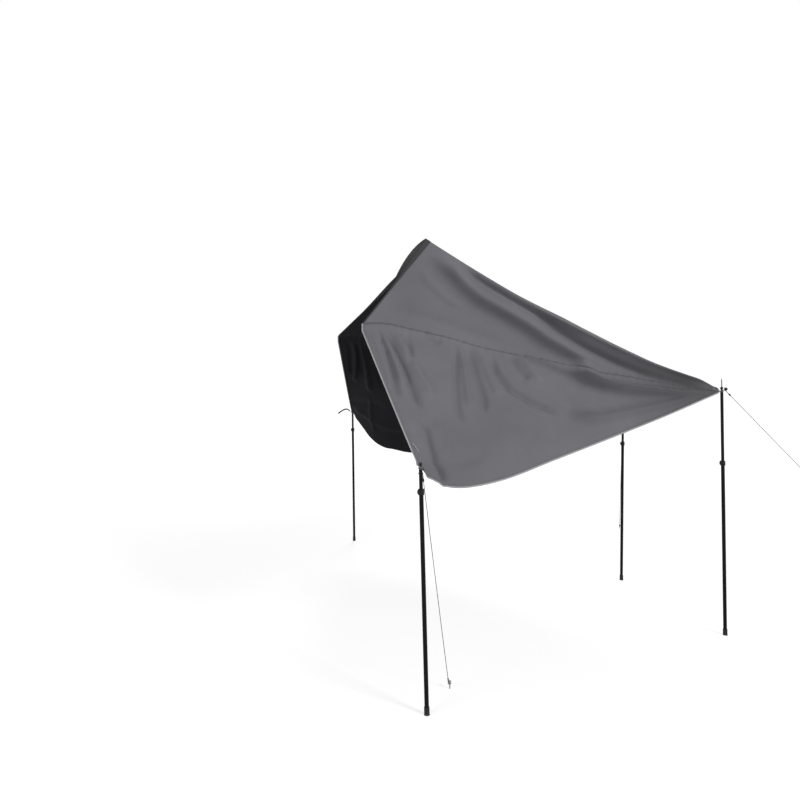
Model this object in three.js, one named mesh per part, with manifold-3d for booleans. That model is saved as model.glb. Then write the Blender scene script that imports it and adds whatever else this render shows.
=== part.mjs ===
// Sun canopy for the open end of a roof tent.
// A sewn cloth roof with two side panels zips to the tent's end and stands on four
// telescopic poles, with guy ropes to pegs. All lengths are in millimetres, +Z is up,
// +X points away from the tent and +Y runs along the tent's end.
import * as THREE from 'three';
import { mergeVertices } from 'three/addons/utils/BufferGeometryUtils.js';
import Module from 'manifold-3d';

const wasm = await Module();
wasm.setup();
const { Manifold } = wasm;

// Fits
const CLEARANCE = 0.3;            // between pieces that touch
const PIN_CLEARANCE = 0.4;        // lever eye round its pin
const LOOP_CLEARANCE = 0.6;       // rope loop round what it holds
const CUT_OVERRUN = 200;          // how far every cutter reaches past what it cuts

// Tent end that the canopy zips to
const NEAR_SILL = { x: 0, y: -800, height: 2100 };
const FAR_SILL = { x: -20, y: 800, height: 2100 };
const NEAR_BOW = { x: 454, y: -800, height: 2714 };
const FAR_BOW = { x: 540, y: 800, height: 2690 };
const SILL_TURN_UP = 47;          // the side panel runs up the tent end this far to the seam
const BOW_CROWN = 45;

// Cloth
const CLOTH = 2;
const RIDGE_SAG = 60;
const ROOF_BELLY = 70;
const OUTER_HEM_SAG = 26;
const OUTER_HEM_HOLLOW = 55;
const NEAR_HEM_DROP = 183;
const FAR_HEM_DROP = 458;
const SEAM_RISE = 26;
const CORNER_INSET = 13;          // cloth edge stops here, measured from the pole's axis
const RIDGE_LANDING = 90;         // the ridges run out on the outer hem this far from its poles
const CORNER_FLAT = 26;           // cloth lies level with the patch inside this radius
const CORNER_BLEND = 84;          // and has its free shape outside this one
const HEM_WIDTH = 11;
const HEM_THICKNESS = 3.4;
const ZIP_FLAP_WIDTH = 32;
const ZIP_FLAP_TAPERED = 7;
const ZIP_FLAP_THICKNESS = 3;
const FLAP_TAPER_SHARE = 0.35;    // of each upright of the tent end, from the seam up

// Main folds: where each starts and how far it falls across the panel, and its size
const ROOF_FOLDS = [
  { startShare: 0.86, fallShare: 0.90, power: 0.75, widthShare: 0.13, depth: 34 },
  { startShare: 0.95, fallShare: 0.75, power: 2.00, widthShare: 0.09, depth: 22 },
  { startShare: 0.40, fallShare: 0.34, power: 0.80, widthShare: 0.12, depth: 16 },
];
const SIDE_FOLDS = [
  { startShare: 0.14, fallShare: -0.10, power: 1.00, widthShare: 0.13, depth: 24 },
  { startShare: 0.10, fallShare: -0.76, power: 1.20, widthShare: 0.12, depth: 18 },
];
const PLEAT_DEPTH = 15;
const PLEATS = 9;
const PLEAT_REACH_SHARE = 0.34;

// Poles: where the foot stands, where the cloth corner sits on the spike, and how far
// that corner is drawn out above the mouth of the lower tube
const LOWER_RADIUS = 12;
const UPPER_RADIUS = 10;
const TUBE_WALL = 1.2;
const LOWER_LENGTH = 1200;        // floor to the mouth of the lower tube
const UPPER_LENGTH = 1000;
const POLES = {
  near_tent: { footX: 228, footY: -1687, topX: 192, topY: -1692, drawnOut: 118 },
  near_outer: { footX: 2487, footY: -1103, topX: 2460, topY: -1103, drawnOut: 490 },
  far_outer: { footX: 2379, footY: 57, topX: 2392, topY: 50, drawnOut: 493 },
  far_tent: { footX: 227, footY: 1724, topX: 207, topY: 1704, drawnOut: 169 },
};
for (const pole of Object.values(POLES)) pole.topHeight = LOWER_LENGTH + pole.drawnOut;

// Rubber foot
const FOOT_RADIUS = 14.2;
const FOOT_FLARE = 16.2;
const FOOT_HEIGHT = 42;
const FOOT_SOLE = 7;
const FOOT_RIB = 1;
const FOOT_RIBS = 3;

// Clamp collar and its lever
const CLAMP_RADIUS = 17;
const CLAMP_HEIGHT = 32;
const CLAMP_GRIP = 7;             // part of the collar above the lower tube's mouth
const CLAMP_RELIEF = 9;           // groove in the collar that the lever closes into
const CLAMP_SLIT = 2;
const CLAMP_CHAMFER = 2;
const PIN_RADIUS = 2;
const EYE_RADIUS = 4.6;
const LEVER_THICKNESS = 4;
const LEVER_TAB = 6;
const LEVER_SPREAD = 140;         // degrees of collar that the closed lever covers
const LEVER_FACING = 180;         // degrees, the closed levers look back at the tent

// Spike, eyelet, patch and knob
const SPIKE_RADIUS = 3.5;
const SPIKE_TALL = 86;            // above the middle of the patch
const SPIKE_TIP = 1.6;
const SPIKE_TAPER = 14;
const PLUG_DEPTH = 32;
const PLUG_FLANGE = 3;
const PATCH_THICKNESS = 4;
const PATCH_TIP_RADIUS = 14;
const PATCH_TAIL_RADIUS = 23;
const PATCH_LENGTH = 50;
const EYELET_FLANGE = 1.2;
const EYELET_RADIUS = 11;
const EYELET_BARREL = 7.6;
const EYELET_WALL = 2;
const KNOB_RADIUS = 10;
const KNOB_HEIGHT = 21;           // centre of the knob above the patch
const KNOB_NECK = 6.4;

// Guy ropes, their loops, sliders and pegs
const ROPE = 3.5;
const ROPE_SAG = 9;
const LOOP_SLACK = 2.6;           // ease of the spike loop round the spike
const SLIDER_RADIUS = 5.2;
const SLIDER_LENGTH = 17;
const SLIDER_DROP = 42;           // slider below the loop, along the rope
const KNOT_RADIUS = 4.4;
const KNOT_LENGTH = 10;
const KNOT_REACH = 34;            // from the peg's stem to the knot
const PEG_STEM = 3.6;
const PEG_HEAD = 9;
const PEG_HEAD_HEIGHT = 7;
const PEG_STANDS = 46;            // top of the peg above the ground
const PEG_LOOP_HEIGHT = 31;
const TUBE_LOOP_DROP = 22;        // loop on the tube, below the patch
const GUYS = {
  near_tent: { pegX: 419, pegY: -1448, onTube: true },
  near_outer: { pegX: 3439, pegY: -2315, onTube: false },
  far_outer: { pegX: 3288, pegY: 1653, onTube: false },
};

// Webbing tail on the far corner by the tent: shares of its reach out from the patch
// and of its rise
const TAIL_WIDTH = 14;
const TAIL_THICKNESS = 2.4;
const TAIL_REACH = 138;
const TAIL_RISE = 41;
const TAIL_SHARES = [[0, 0], [0.12, 0.54], [0.28, 0.98], [0.48, 1], [0.68, 0.68], [0.86, 0.29],
  [1, -0.1]];
const TAIL_AZIMUTH = 169;

// Mesh density
const CLOTH_ACROSS = 24;
const CLOTH_ALONG = 22;
const SIDE_DEEP = 12;
const FAR_DEEP = 10;
const ROUND = 18;

const INK = {
  cloth: [0x6b6a70, 0.85, 0], hem: [0x8c8c91, 0.8, 0], flap: [0x303034, 0.8, 0],
  webbing: [0x1c1c1f, 0.8, 0], tube: [0x141416, 0.42, 0.3], plastic: [0x0c0c0d, 0.5, 0],
  rubber: [0x0a0a0a, 0.85, 0], steel: [0x8d9095, 0.3, 0.9], rope: [0x77777a, 0.9, 0],
};

const vec = (x, y, z) => new THREE.Vector3(x, y, z);
const at = (p) => vec(p.x, p.y, p.height);
const mix = (a, b, t) => a.clone().lerp(b, t);
const arch = (t) => 4 * t * (1 - t);
const smooth = (t) => { const c = Math.min(Math.max(t, 0), 1); return c * c * (3 - 2 * c); };
const radians = THREE.MathUtils.degToRad;
const parts = [];

// A curve through hand-chosen shares, read at any share from 0 to 1.
function shareCurve(pairs) {
  const keys = pairs.map(([s]) => s);
  return (s) => {
    const k = Math.max(keys.findIndex((key) => key >= s), 1);
    const [s0, v0] = pairs[k - 1];
    const [s1, v1] = pairs[k];
    return v0 + (v1 - v0) * (s - s0) / (s1 - s0);
  };
}

const nearDropShares = shareCurve([[0, 0], [0.02, 0.34], [0.045, 0.62], [0.075, 0.77],
  [0.11, 0.89], [0.16, 0.97], [0.22, 1], [0.38, 0.83], [0.61, 0.56], [0.8, 0.31], [1, 0]]);
const farDropShares = shareCurve([[0, 0], [0.05, 0.36], [0.075, 0.55], [0.1, 0.69],
  [0.14, 0.83], [0.18, 0.89], [0.24, 0.98], [0.32, 1], [0.5, 0.8], [0.72, 0.45], [1, 0]]);
const seamShares = shareCurve([[0, 0], [0.05, 1], [0.14, 0.9], [0.24, 0.4], [0.33, -0.35],
  [0.5, -0.5], [0.64, -1], [0.75, -0.6], [0.85, -0.5], [0.93, -0.5], [1, 0]]);

// Solids

function signedVolume(geometry) {
  const p = geometry.attributes.position;
  const index = geometry.index;
  let total = 0;
  for (let k = 0; k < index.count; k += 3) {
    const [a, b, c] = [0, 1, 2].map((n) => vec(0, 0, 0).fromBufferAttribute(p, index.getX(k + n)));
    total += a.dot(b.cross(c));
  }
  return total;
}

function toSolid(geometry) {
  const plain = geometry.clone();
  plain.deleteAttribute('normal');
  plain.deleteAttribute('uv');
  const merged = mergeVertices(plain, CLEARANCE / 300);
  const index = Array.from(merged.index.array);
  if (signedVolume(merged) < 0) {
    for (let k = 0; k < index.length; k += 3) [index[k], index[k + 1]] = [index[k + 1], index[k]];
  }
  const mesh = new wasm.Mesh({
    numProp: 3,
    vertProperties: new Float32Array(merged.attributes.position.array),
    triVerts: new Uint32Array(index),
  });
  return new Manifold(mesh);
}

function toGeometry(solid) {
  const mesh = solid.getMesh();
  const geometry = new THREE.BufferGeometry();
  const points = new Float32Array(mesh.numVert * 3);
  for (let k = 0; k < mesh.numVert; k += 1) {
    for (let n = 0; n < 3; n += 1) points[k * 3 + n] = mesh.vertProperties[k * mesh.numProp + n];
  }
  geometry.setAttribute('position', new THREE.BufferAttribute(points, 3));
  geometry.setIndex(Array.from(mesh.triVerts));
  return geometry;
}

function addPart(name, solid, ink) {
  const [color, roughness, metalness] = INK[ink];
  const geometry = toGeometry(solid);
  geometry.computeVertexNormals();
  const mesh = new THREE.Mesh(geometry,
    new THREE.MeshStandardMaterial({ color, roughness, metalness }));
  mesh.name = name;
  parts.push(mesh);
}

// Revolves a profile of [radius, height] pairs about +Z.
function turned(profile, sides = ROUND) {
  const points = profile.map(([radius, height]) => new THREE.Vector2(radius, height));
  const lathe = new THREE.LatheGeometry(points, sides);
  lathe.rotateX(Math.PI / 2);
  return toSolid(lathe);
}

function ring(inner, outer, bottom, top, sides = ROUND) {
  return turned([[inner, bottom], [outer, bottom], [outer, top], [inner, top], [inner, bottom]],
    sides);
}

function rod(radius, bottom, top, sides = ROUND) {
  return turned([[0, bottom], [radius, bottom], [radius, top], [0, top]], sides);
}

function prism(outline, bottom, top) {
  const shape = new THREE.Shape(outline.map(([x, y]) => new THREE.Vector2(x, y)));
  const geometry = new THREE.ExtrudeGeometry(shape, { depth: top - bottom, bevelEnabled: false });
  geometry.translate(0, 0, bottom);
  return toSolid(geometry);
}

// A round cord of the given diameter along a curve.
function cord(curve, diameter, steps, sides = 8) {
  const section = new THREE.Shape();
  for (let k = 0; k < sides; k += 1) {
    const turn = 2 * Math.PI * k / sides;
    const [x, y] = [Math.cos(turn) * diameter / 2, Math.sin(turn) * diameter / 2];
    if (k === 0) section.moveTo(x, y); else section.lineTo(x, y);
  }
  section.closePath();
  return toSolid(new THREE.ExtrudeGeometry(section, { steps, extrudePath: curve }));
}

function moved(solid, matrix) {
  return solid.transform(matrix.elements);
}

// Poles

function poleAxis(pole) {
  return vec(pole.topX - pole.footX, pole.topY - pole.footY, pole.topHeight).normalize();
}

// Places a piece drawn along +Z from the floor on the pole's own leaning axis.
function poleFrame(pole, azimuth = 0) {
  const lean = new THREE.Quaternion().setFromUnitVectors(vec(0, 0, 1), poleAxis(pole));
  const turn = new THREE.Quaternion().setFromAxisAngle(vec(0, 0, 1), radians(azimuth));
  return new THREE.Matrix4().compose(vec(pole.footX, pole.footY, 0), lean.multiply(turn),
    vec(1, 1, 1));
}

function poleLength(pole) {
  return vec(pole.topX - pole.footX, pole.topY - pole.footY, pole.topHeight).length();
}

const PATCH_HALF = PATCH_THICKNESS / 2;
const FLANGE_UNDER = PATCH_HALF + CLEARANCE + EYELET_FLANGE + CLEARANCE;
const TUBE_TOP_DROP = FLANGE_UNDER + PLUG_FLANGE + CLEARANCE;

function footCap(pole) {
  const bore = LOWER_RADIUS + CLEARANCE;
  const ribStep = (FOOT_HEIGHT - FOOT_SOLE) / (2 * FOOT_RIBS + 1);
  const profile = [[0, -FOOT_SOLE], [FOOT_FLARE, -FOOT_SOLE], [FOOT_FLARE, FOOT_SOLE / 2]];
  for (let k = 0; k <= FOOT_RIBS; k += 1) {
    const low = FOOT_SOLE + 2 * k * ribStep;
    profile.push([FOOT_RADIUS, low], [FOOT_RADIUS, low + ribStep]);
    if (k < FOOT_RIBS) {
      profile.push([FOOT_RADIUS + FOOT_RIB, low + ribStep], [FOOT_RADIUS + FOOT_RIB, low + 2 * ribStep]);
    }
  }
  profile.push([bore, FOOT_HEIGHT], [bore, FOOT_SOLE], [0, FOOT_SOLE]);
  const ground = prism([[-CUT_OVERRUN, -CUT_OVERRUN], [CUT_OVERRUN, -CUT_OVERRUN],
    [CUT_OVERRUN, CUT_OVERRUN], [-CUT_OVERRUN, CUT_OVERRUN]], -CUT_OVERRUN, 0);
  const here = new THREE.Matrix4().makeTranslation(pole.footX, pole.footY, 0);
  return moved(turned(profile), poleFrame(pole)).subtract(moved(ground, here));
}

function lowerTube() {
  return ring(LOWER_RADIUS - TUBE_WALL, LOWER_RADIUS, FOOT_SOLE + CLEARANCE, LOWER_LENGTH);
}

function upperTube(length) {
  const top = length - TUBE_TOP_DROP;
  return ring(UPPER_RADIUS - TUBE_WALL, UPPER_RADIUS, top - UPPER_LENGTH, top);
}

const CLAMP_TOP = LOWER_LENGTH + CLAMP_GRIP;
const CLAMP_BOTTOM = CLAMP_TOP - CLAMP_HEIGHT;
const LEVER_BOTTOM = CLAMP_BOTTOM + (CLAMP_HEIGHT - 2 * CLAMP_RELIEF) / 2 + CLEARANCE;
const LEVER_TOP = LEVER_BOTTOM + 2 * (CLAMP_RELIEF - CLEARANCE);
const PIN_OUT = CLAMP_RADIUS + CLEARANCE + EYE_RADIUS;

function clampCollar() {
  const tight = UPPER_RADIUS + CLEARANCE;
  const wide = LOWER_RADIUS + CLEARANCE;
  const body = turned([[wide, CLAMP_BOTTOM], [CLAMP_RADIUS - CLAMP_CHAMFER, CLAMP_BOTTOM],
    [CLAMP_RADIUS, CLAMP_BOTTOM + CLAMP_CHAMFER], [CLAMP_RADIUS, CLAMP_TOP - CLAMP_CHAMFER],
    [CLAMP_RADIUS - CLAMP_CHAMFER, CLAMP_TOP], [tight, CLAMP_TOP],
    [tight, LOWER_LENGTH + CLEARANCE], [wide, LOWER_LENGTH + CLEARANCE], [wide, CLAMP_BOTTOM]]);
  const ear = [[-EYE_RADIUS, -CLAMP_RADIUS + TUBE_WALL], [-EYE_RADIUS, -PIN_OUT],
    [-EYE_RADIUS / 2, -PIN_OUT - EYE_RADIUS], [EYE_RADIUS / 2, -PIN_OUT - EYE_RADIUS],
    [EYE_RADIUS, -PIN_OUT], [EYE_RADIUS, -CLAMP_RADIUS + TUBE_WALL]];
  const lowEar = prism(ear, CLAMP_BOTTOM + CLAMP_CHAMFER, LEVER_BOTTOM - CLEARANCE);
  const highEar = prism(ear, LEVER_TOP + CLEARANCE, CLAMP_TOP - CLAMP_CHAMFER);
  const pin = rod(PIN_RADIUS, CLAMP_BOTTOM + CLAMP_CHAMFER, CLAMP_TOP - CLAMP_CHAMFER, 12)
    .translate([0, -PIN_OUT, 0]);
  const slit = prism([[0, -CLAMP_SLIT / 2], [CUT_OVERRUN, -CLAMP_SLIT / 2],
    [CUT_OVERRUN, CLAMP_SLIT / 2], [0, CLAMP_SLIT / 2]], CLAMP_BOTTOM - CLAMP_CHAMFER,
  CLAMP_TOP + CLAMP_CHAMFER).rotate([0, 0, 35]);
  return body.subtract(slit).add(lowEar).add(highEar).add(pin);
}

// The lever wraps the collar when it is closed and swings out round the pin.
function clampLever() {
  const inner = CLAMP_RADIUS + CLEARANCE;
  const outer = inner + LEVER_THICKNESS;
  const first = radians(-90 + 12);
  const last = radians(-90 + LEVER_SPREAD);
  const outline = [];
  const steps = 12;
  for (let k = 0; k <= steps; k += 1) {
    const turn = first + (last - first) * k / steps;
    outline.push([Math.cos(turn) * inner, Math.sin(turn) * inner]);
  }
  const flare = last + LEVER_TAB / outer;
  outline.push([Math.cos(flare) * (inner + LEVER_TAB / 2), Math.sin(flare) * (inner + LEVER_TAB / 2)]);
  outline.push([Math.cos(flare) * (outer + LEVER_TAB / 2), Math.sin(flare) * (outer + LEVER_TAB / 2)]);
  for (let k = steps; k >= 0; k -= 1) {
    const turn = first + (last - first) * k / steps;
    outline.push([Math.cos(turn) * outer, Math.sin(turn) * outer]);
  }
  const eye = rod(EYE_RADIUS, LEVER_BOTTOM, LEVER_TOP, 14).translate([0, -PIN_OUT, 0]);
  const bore = rod(PIN_RADIUS + PIN_CLEARANCE, CLAMP_BOTTOM, CLAMP_TOP, 12)
    .translate([0, -PIN_OUT, 0]);
  return prism(outline, LEVER_BOTTOM, LEVER_TOP).add(eye).subtract(bore);
}

function spikePlug(length) {
  const under = length - FLANGE_UNDER;
  const bore = UPPER_RADIUS - TUBE_WALL - CLEARANCE;
  return turned([[0, under - PLUG_FLANGE - PLUG_DEPTH], [bore - TUBE_WALL, under - PLUG_FLANGE - PLUG_DEPTH],
    [bore, under - PLUG_DEPTH], [bore, under - PLUG_FLANGE], [UPPER_RADIUS, under - PLUG_FLANGE],
    [UPPER_RADIUS, under], [SPIKE_RADIUS, under], [SPIKE_RADIUS, length + SPIKE_TALL - SPIKE_TAPER],
    [SPIKE_TIP, length + SPIKE_TALL], [0, length + SPIKE_TALL]], 12);
}

function spikeKnob(length) {
  const bore = SPIKE_RADIUS + CLEARANCE;
  const centre = length + KNOB_HEIGHT;
  const bottom = length + PATCH_HALF + 2 * CLEARANCE + EYELET_FLANGE + ROPE + CLEARANCE;
  const profile = [[bore, bottom], [KNOB_NECK, bottom]];
  for (const latitude of [-45, -15, 15, 45, 66]) {
    const turn = radians(latitude);
    profile.push([Math.cos(turn) * KNOB_RADIUS, centre + Math.sin(turn) * KNOB_RADIUS]);
  }
  profile.push([bore, centre + Math.sin(radians(66)) * KNOB_RADIUS], [bore, bottom]);
  return turned(profile, 14);
}

// Corner patches and eyelets

function patchAzimuth(name) {
  const corner = cornerPoint(name);
  const arms = CORNER_ARMS[name].map((p) => Math.atan2(p.y - corner.y, p.x - corner.x));
  const spread = Math.atan2(Math.sin(arms[1] - arms[0]), Math.cos(arms[1] - arms[0]));
  return THREE.MathUtils.radToDeg(arms[0] + spread / 2);
}

// The patch is a drop shape: round about the spike, longer and wider into the cloth.
function patchOutline(grow) {
  const [tip, tail] = [PATCH_TIP_RADIUS + grow, PATCH_TAIL_RADIUS + grow];
  const tilt = Math.asin((tail - tip) / PATCH_LENGTH);
  const outline = [];
  for (let k = 0; k <= 6; k += 1) {
    const turn = Math.PI / 2 + tilt + (Math.PI - 2 * tilt) * k / 6;
    outline.push([Math.cos(turn) * tip, Math.sin(turn) * tip]);
  }
  for (let k = 0; k <= 8; k += 1) {
    const turn = -Math.PI / 2 - tilt + (Math.PI + 2 * tilt) * k / 8;
    outline.push([PATCH_LENGTH + Math.cos(turn) * tail, Math.sin(turn) * tail]);
  }
  return outline;
}

function cornerPatch(length) {
  const hole = rod(EYELET_BARREL + CLEARANCE, length - CUT_OVERRUN, length + CUT_OVERRUN, 12);
  return prism(patchOutline(0), length - PATCH_HALF, length + PATCH_HALF).subtract(hole);
}

function patchCutter(name) {
  const pole = POLES[name];
  const length = poleLength(pole);
  return moved(prism(patchOutline(CLEARANCE), length - CUT_OVERRUN, length + CUT_OVERRUN),
    poleFrame(pole, patchAzimuth(name)));
}

function eyelet(length) {
  const inner = EYELET_BARREL - EYELET_WALL;
  const near = PATCH_HALF + CLEARANCE;
  const far = near + EYELET_FLANGE;
  return turned([[inner, length - far], [EYELET_RADIUS, length - far],
    [EYELET_RADIUS, length - near], [EYELET_BARREL, length - near],
    [EYELET_BARREL, length + near], [EYELET_RADIUS, length + near],
    [EYELET_RADIUS, length + far], [inner, length + far], [inner, length - far]], 12);
}

// Cloth

function cornerPoint(name) {
  const pole = POLES[name];
  return vec(pole.topX, pole.topY, pole.topHeight);
}

const CORNER_ARMS = {
  near_tent: [at(NEAR_SILL), cornerPoint('near_outer')],
  near_outer: [cornerPoint('near_tent'), cornerPoint('far_outer')],
  far_outer: [cornerPoint('near_outer'), cornerPoint('far_tent')],
  far_tent: [cornerPoint('far_outer'), at(FAR_SILL)],
};

// The end of a cloth edge: just short of the pole's axis, on the way to a point.
function edgeEnd(name, towards, inset = CORNER_INSET) {
  const corner = cornerPoint(name);
  const way = towards.clone().sub(corner).setZ(0).normalize();
  return corner.addScaledVector(way, inset);
}

// Pulls the cloth level with the corner patches close to the poles.
function levelled(point) {
  for (const name of Object.keys(POLES)) {
    const corner = cornerPoint(name);
    const reach = Math.hypot(point.x - corner.x, point.y - corner.y);
    const pull = 1 - smooth((reach - CORNER_FLAT) / (CORNER_BLEND - CORNER_FLAT));
    point.z += (corner.z - point.z) * pull;
  }
  return point;
}

const RIDGE_SHARE = 0.25;         // share of the tent end that is the near or the far upright
const seamStart = { near: at(NEAR_SILL).setZ(NEAR_SILL.height + SILL_TURN_UP),
  far: at(FAR_SILL).setZ(FAR_SILL.height + SILL_TURN_UP) };

function tentEdge(across) {
  if (across < RIDGE_SHARE) return mix(seamStart.near, at(NEAR_BOW), across / RIDGE_SHARE);
  if (across > 1 - RIDGE_SHARE) return mix(seamStart.far, at(FAR_BOW), (1 - across) / RIDGE_SHARE);
  const t = (across - RIDGE_SHARE) / (1 - 2 * RIDGE_SHARE);
  const point = mix(at(NEAR_BOW), at(FAR_BOW), t);
  point.z += BOW_CROWN * arch(t);
  return point;
}

function outerEdge(across) {
  const nearHem = edgeEnd('near_outer', cornerPoint('far_outer'), RIDGE_LANDING);
  const farHem = edgeEnd('far_outer', cornerPoint('near_outer'), RIDGE_LANDING);
  if (across < RIDGE_SHARE) {
    return mix(edgeEnd('near_outer', seamStart.near), nearHem, across / RIDGE_SHARE);
  }
  if (across > 1 - RIDGE_SHARE) {
    return mix(edgeEnd('far_outer', seamStart.far), farHem, (1 - across) / RIDGE_SHARE);
  }
  const t = (across - RIDGE_SHARE) / (1 - 2 * RIDGE_SHARE);
  const point = mix(nearHem, farHem, t);
  point.z -= OUTER_HEM_SAG * arch(t);
  point.x -= OUTER_HEM_HOLLOW * arch(t);
  return point;
}

// Depth of one fold, a long hollow whose middle wanders across the panel.
function foldDepth(fold, across, along) {
  const middle = fold.startShare - fold.fallShare * along ** fold.power;
  const off = (across - middle) / fold.widthShare;
  return fold.depth * Math.exp(-off * off) * Math.sqrt(arch(along));
}

// The roof: across runs from the near seam over both ridges to the far seam,
// along runs from the tent to the outer hem.
function roofPoint(across, along) {
  const point = mix(tentEdge(across), outerEdge(across), along);
  const side = Math.min(across, 1 - across) / RIDGE_SHARE;
  const outward = across < 1 / 2 ? -1 : 1;
  if (side <= 1) {
    point.z += SEAM_RISE * seamShares(along) * (1 - side) - RIDGE_SAG * arch(along) * side;
    const edge = smooth(side * 4) * smooth((1 - side) * 6);
    for (const fold of ROOF_FOLDS) point.y -= outward * foldDepth(fold, side, along) * edge;
  } else {
    const t = (across - RIDGE_SHARE) / (1 - 2 * RIDGE_SHARE);
    point.z -= (RIDGE_SAG + ROOF_BELLY * arch(t)) * arch(along);
  }
  return levelled(point);
}

// A side panel: along runs from the tent to the outer pole, down from seam to hem.
function sidePoint(side, along, down) {
  const near = side === 'near';
  const [low, outer] = near ? ['near_tent', 'near_outer'] : ['far_tent', 'far_outer'];
  const sill = at(near ? NEAR_SILL : FAR_SILL);
  const start = edgeEnd(low, sill);
  const finish = edgeEnd(outer, cornerPoint(low));
  const share = along ** 1.5;
  const hem = mix(start, finish, share);
  hem.z -= near ? NEAR_HEM_DROP * nearDropShares(share) : FAR_HEM_DROP * farDropShares(share);
  const seam = roofPoint(near ? 0 : 1, along);
  const point = mix(seam, hem, down);
  const turnUp = SILL_TURN_UP / (SILL_TURN_UP + seam.distanceTo(hem));
  const frontEdge = down < turnUp ? mix(seamStart[side], sill, down / turnUp)
    : mix(sill, start, (down - turnUp) / (1 - turnUp));
  const straight = mix(seamStart[side], start, down);
  point.add(frontEdge.sub(straight).multiplyScalar((1 - along) ** 6));
  const edge = smooth(down * 6) * smooth((1 - down) * 5);
  const out = near ? -1 : 1;
  for (const fold of SIDE_FOLDS) {
    const depth = foldDepth(fold, down, along) * edge;
    point.y -= out * depth;
    point.z -= depth / 2;
  }
  const fan = Math.atan2(down / 2, along);
  const reach = Math.hypot(along, down / 2) / PLEAT_REACH_SHARE;
  const pleat = PLEAT_DEPTH * Math.sin(fan * PLEATS) * reach * Math.exp(1 - reach * reach)
    * edge * smooth(along * 14);
  point.y += out * pleat;
  return levelled(point);
}

function sample(shape, columns, rows) {
  const grid = [];
  for (let i = 0; i <= columns; i += 1) {
    const line = [];
    for (let j = 0; j <= rows; j += 1) line.push(shape(i / columns, j / rows));
    grid.push(line);
  }
  return grid;
}

function gridNormals(grid) {
  const [last, end] = [grid.length - 1, grid[0].length - 1];
  return grid.map((line, i) => line.map((_, j) => {
    const du = grid[Math.min(i + 1, last)][j].clone().sub(grid[Math.max(i - 1, 0)][j]);
    const dv = grid[i][Math.min(j + 1, end)].clone().sub(grid[i][Math.max(j - 1, 0)]);
    return du.cross(dv).normalize();
  }));
}

// Closes a grid of points into a slab of the given thickness about them.
function slab(grid, normals, thickness) {
  const [columns, rows] = [grid.length, grid[0].length];
  const points = [];
  const faces = [];
  for (const side of [1, -1]) {
    grid.forEach((line, i) => line.forEach((p, j) => {
      const q = p.clone().addScaledVector(normals[i][j], side * thickness / 2);
      points.push(q.x, q.y, q.z);
    }));
  }
  const id = (i, j, under) => (under ? columns * rows : 0) + i * rows + j;
  const quad = (a, b, c, d) => faces.push(a, b, c, a, c, d);
  for (let i = 0; i < columns - 1; i += 1) {
    for (let j = 0; j < rows - 1; j += 1) {
      quad(id(i, j, false), id(i + 1, j, false), id(i + 1, j + 1, false), id(i, j + 1, false));
      quad(id(i, j, true), id(i, j + 1, true), id(i + 1, j + 1, true), id(i + 1, j, true));
    }
  }
  for (let i = 0; i < columns - 1; i += 1) {
    quad(id(i, 0, true), id(i + 1, 0, true), id(i + 1, 0, false), id(i, 0, false));
    quad(id(i, rows - 1, false), id(i + 1, rows - 1, false), id(i + 1, rows - 1, true), id(i, rows - 1, true));
  }
  for (let j = 0; j < rows - 1; j += 1) {
    quad(id(0, j, false), id(0, j + 1, false), id(0, j + 1, true), id(0, j, true));
    quad(id(columns - 1, j, true), id(columns - 1, j + 1, true), id(columns - 1, j + 1, false), id(columns - 1, j, false));
  }
  const geometry = new THREE.BufferGeometry();
  geometry.setAttribute('position', new THREE.Float32BufferAttribute(points, 3));
  geometry.setIndex(faces);
  return toSolid(geometry);
}

// Where two panels meet, both edges take the mean of their normals and stand back
// half a clearance, so the panels meet face to face along the seam.
function joinAtSeam(roof, roofNormals, roofColumn, side, sideNormals) {
  for (let k = 0; k < side.length; k += 1) {
    const mean = roofNormals[roofColumn][k].clone();
    if (mean.dot(sideNormals[k][0]) < 0) sideNormals[k][0].negate();
    mean.add(sideNormals[k][0]);
    mean.multiplyScalar(2 / mean.lengthSq());
    const flip = sideNormals[k][1].dot(sideNormals[k][0]) < 0 ? -1 : 1;
    roofNormals[roofColumn][k].copy(mean);
    sideNormals[k][0].copy(mean).multiplyScalar(flip);
    const inward = side[k][1].clone().sub(side[k][0]).normalize();
    side[k][0].addScaledVector(inward, CLEARANCE);
  }
}

// Trims a panel so that its own hem strips keep their clearance where an edge turns.
function trimmed(solid, strips, thickness) {
  return strips.reduce((rest, stations) => {
    const backed = stations.map(({ point, out, normal, width }) => ({
      point: point.clone().addScaledVector(out, -CLEARANCE / 2), out, normal, width: width + CLEARANCE }));
    return rest.subtract(edgeStrip(backed, thickness + 2 * CLEARANCE));
  }, solid);
}

function withoutPatches(solid, names) {
  return names.reduce((rest, name) => rest.subtract(patchCutter(name)), solid);
}

// A strip of given width and thickness that carries a cloth edge on outward.
// Each station has the edge point, the way out of the cloth and the cloth's normal.
function edgeStrip(stations, thickness) {
  const grid = stations.map(({ point, out, width }) => [
    point.clone().addScaledVector(out, CLEARANCE),
    point.clone().addScaledVector(out, CLEARANCE + width),
  ]);
  const normals = stations.map(({ normal }) => [normal, normal]);
  return slab(grid, normals, thickness);
}

// Reads the stations of a strip off the border of a panel.
function borderStations(grid, normals, pick, width) {
  const edge = pick(grid);
  const lift = pick(normals);
  return edge.map(({ here }, k) => {
    const ahead = edge[Math.min(k + 1, edge.length - 1)].here;
    const behind = edge[Math.max(k - 1, 0)].here;
    const tangent = ahead.clone().sub(behind).normalize();
    const inside = here.clone().sub(edge[k].inner);
    const normal = lift[k].here.clone().normalize();
    const out = tangent.clone().cross(normal).normalize();
    if (out.dot(inside) < 0) out.negate();
    return { point: here, out, normal, width: width(k / (edge.length - 1)) };
  });
}

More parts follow.
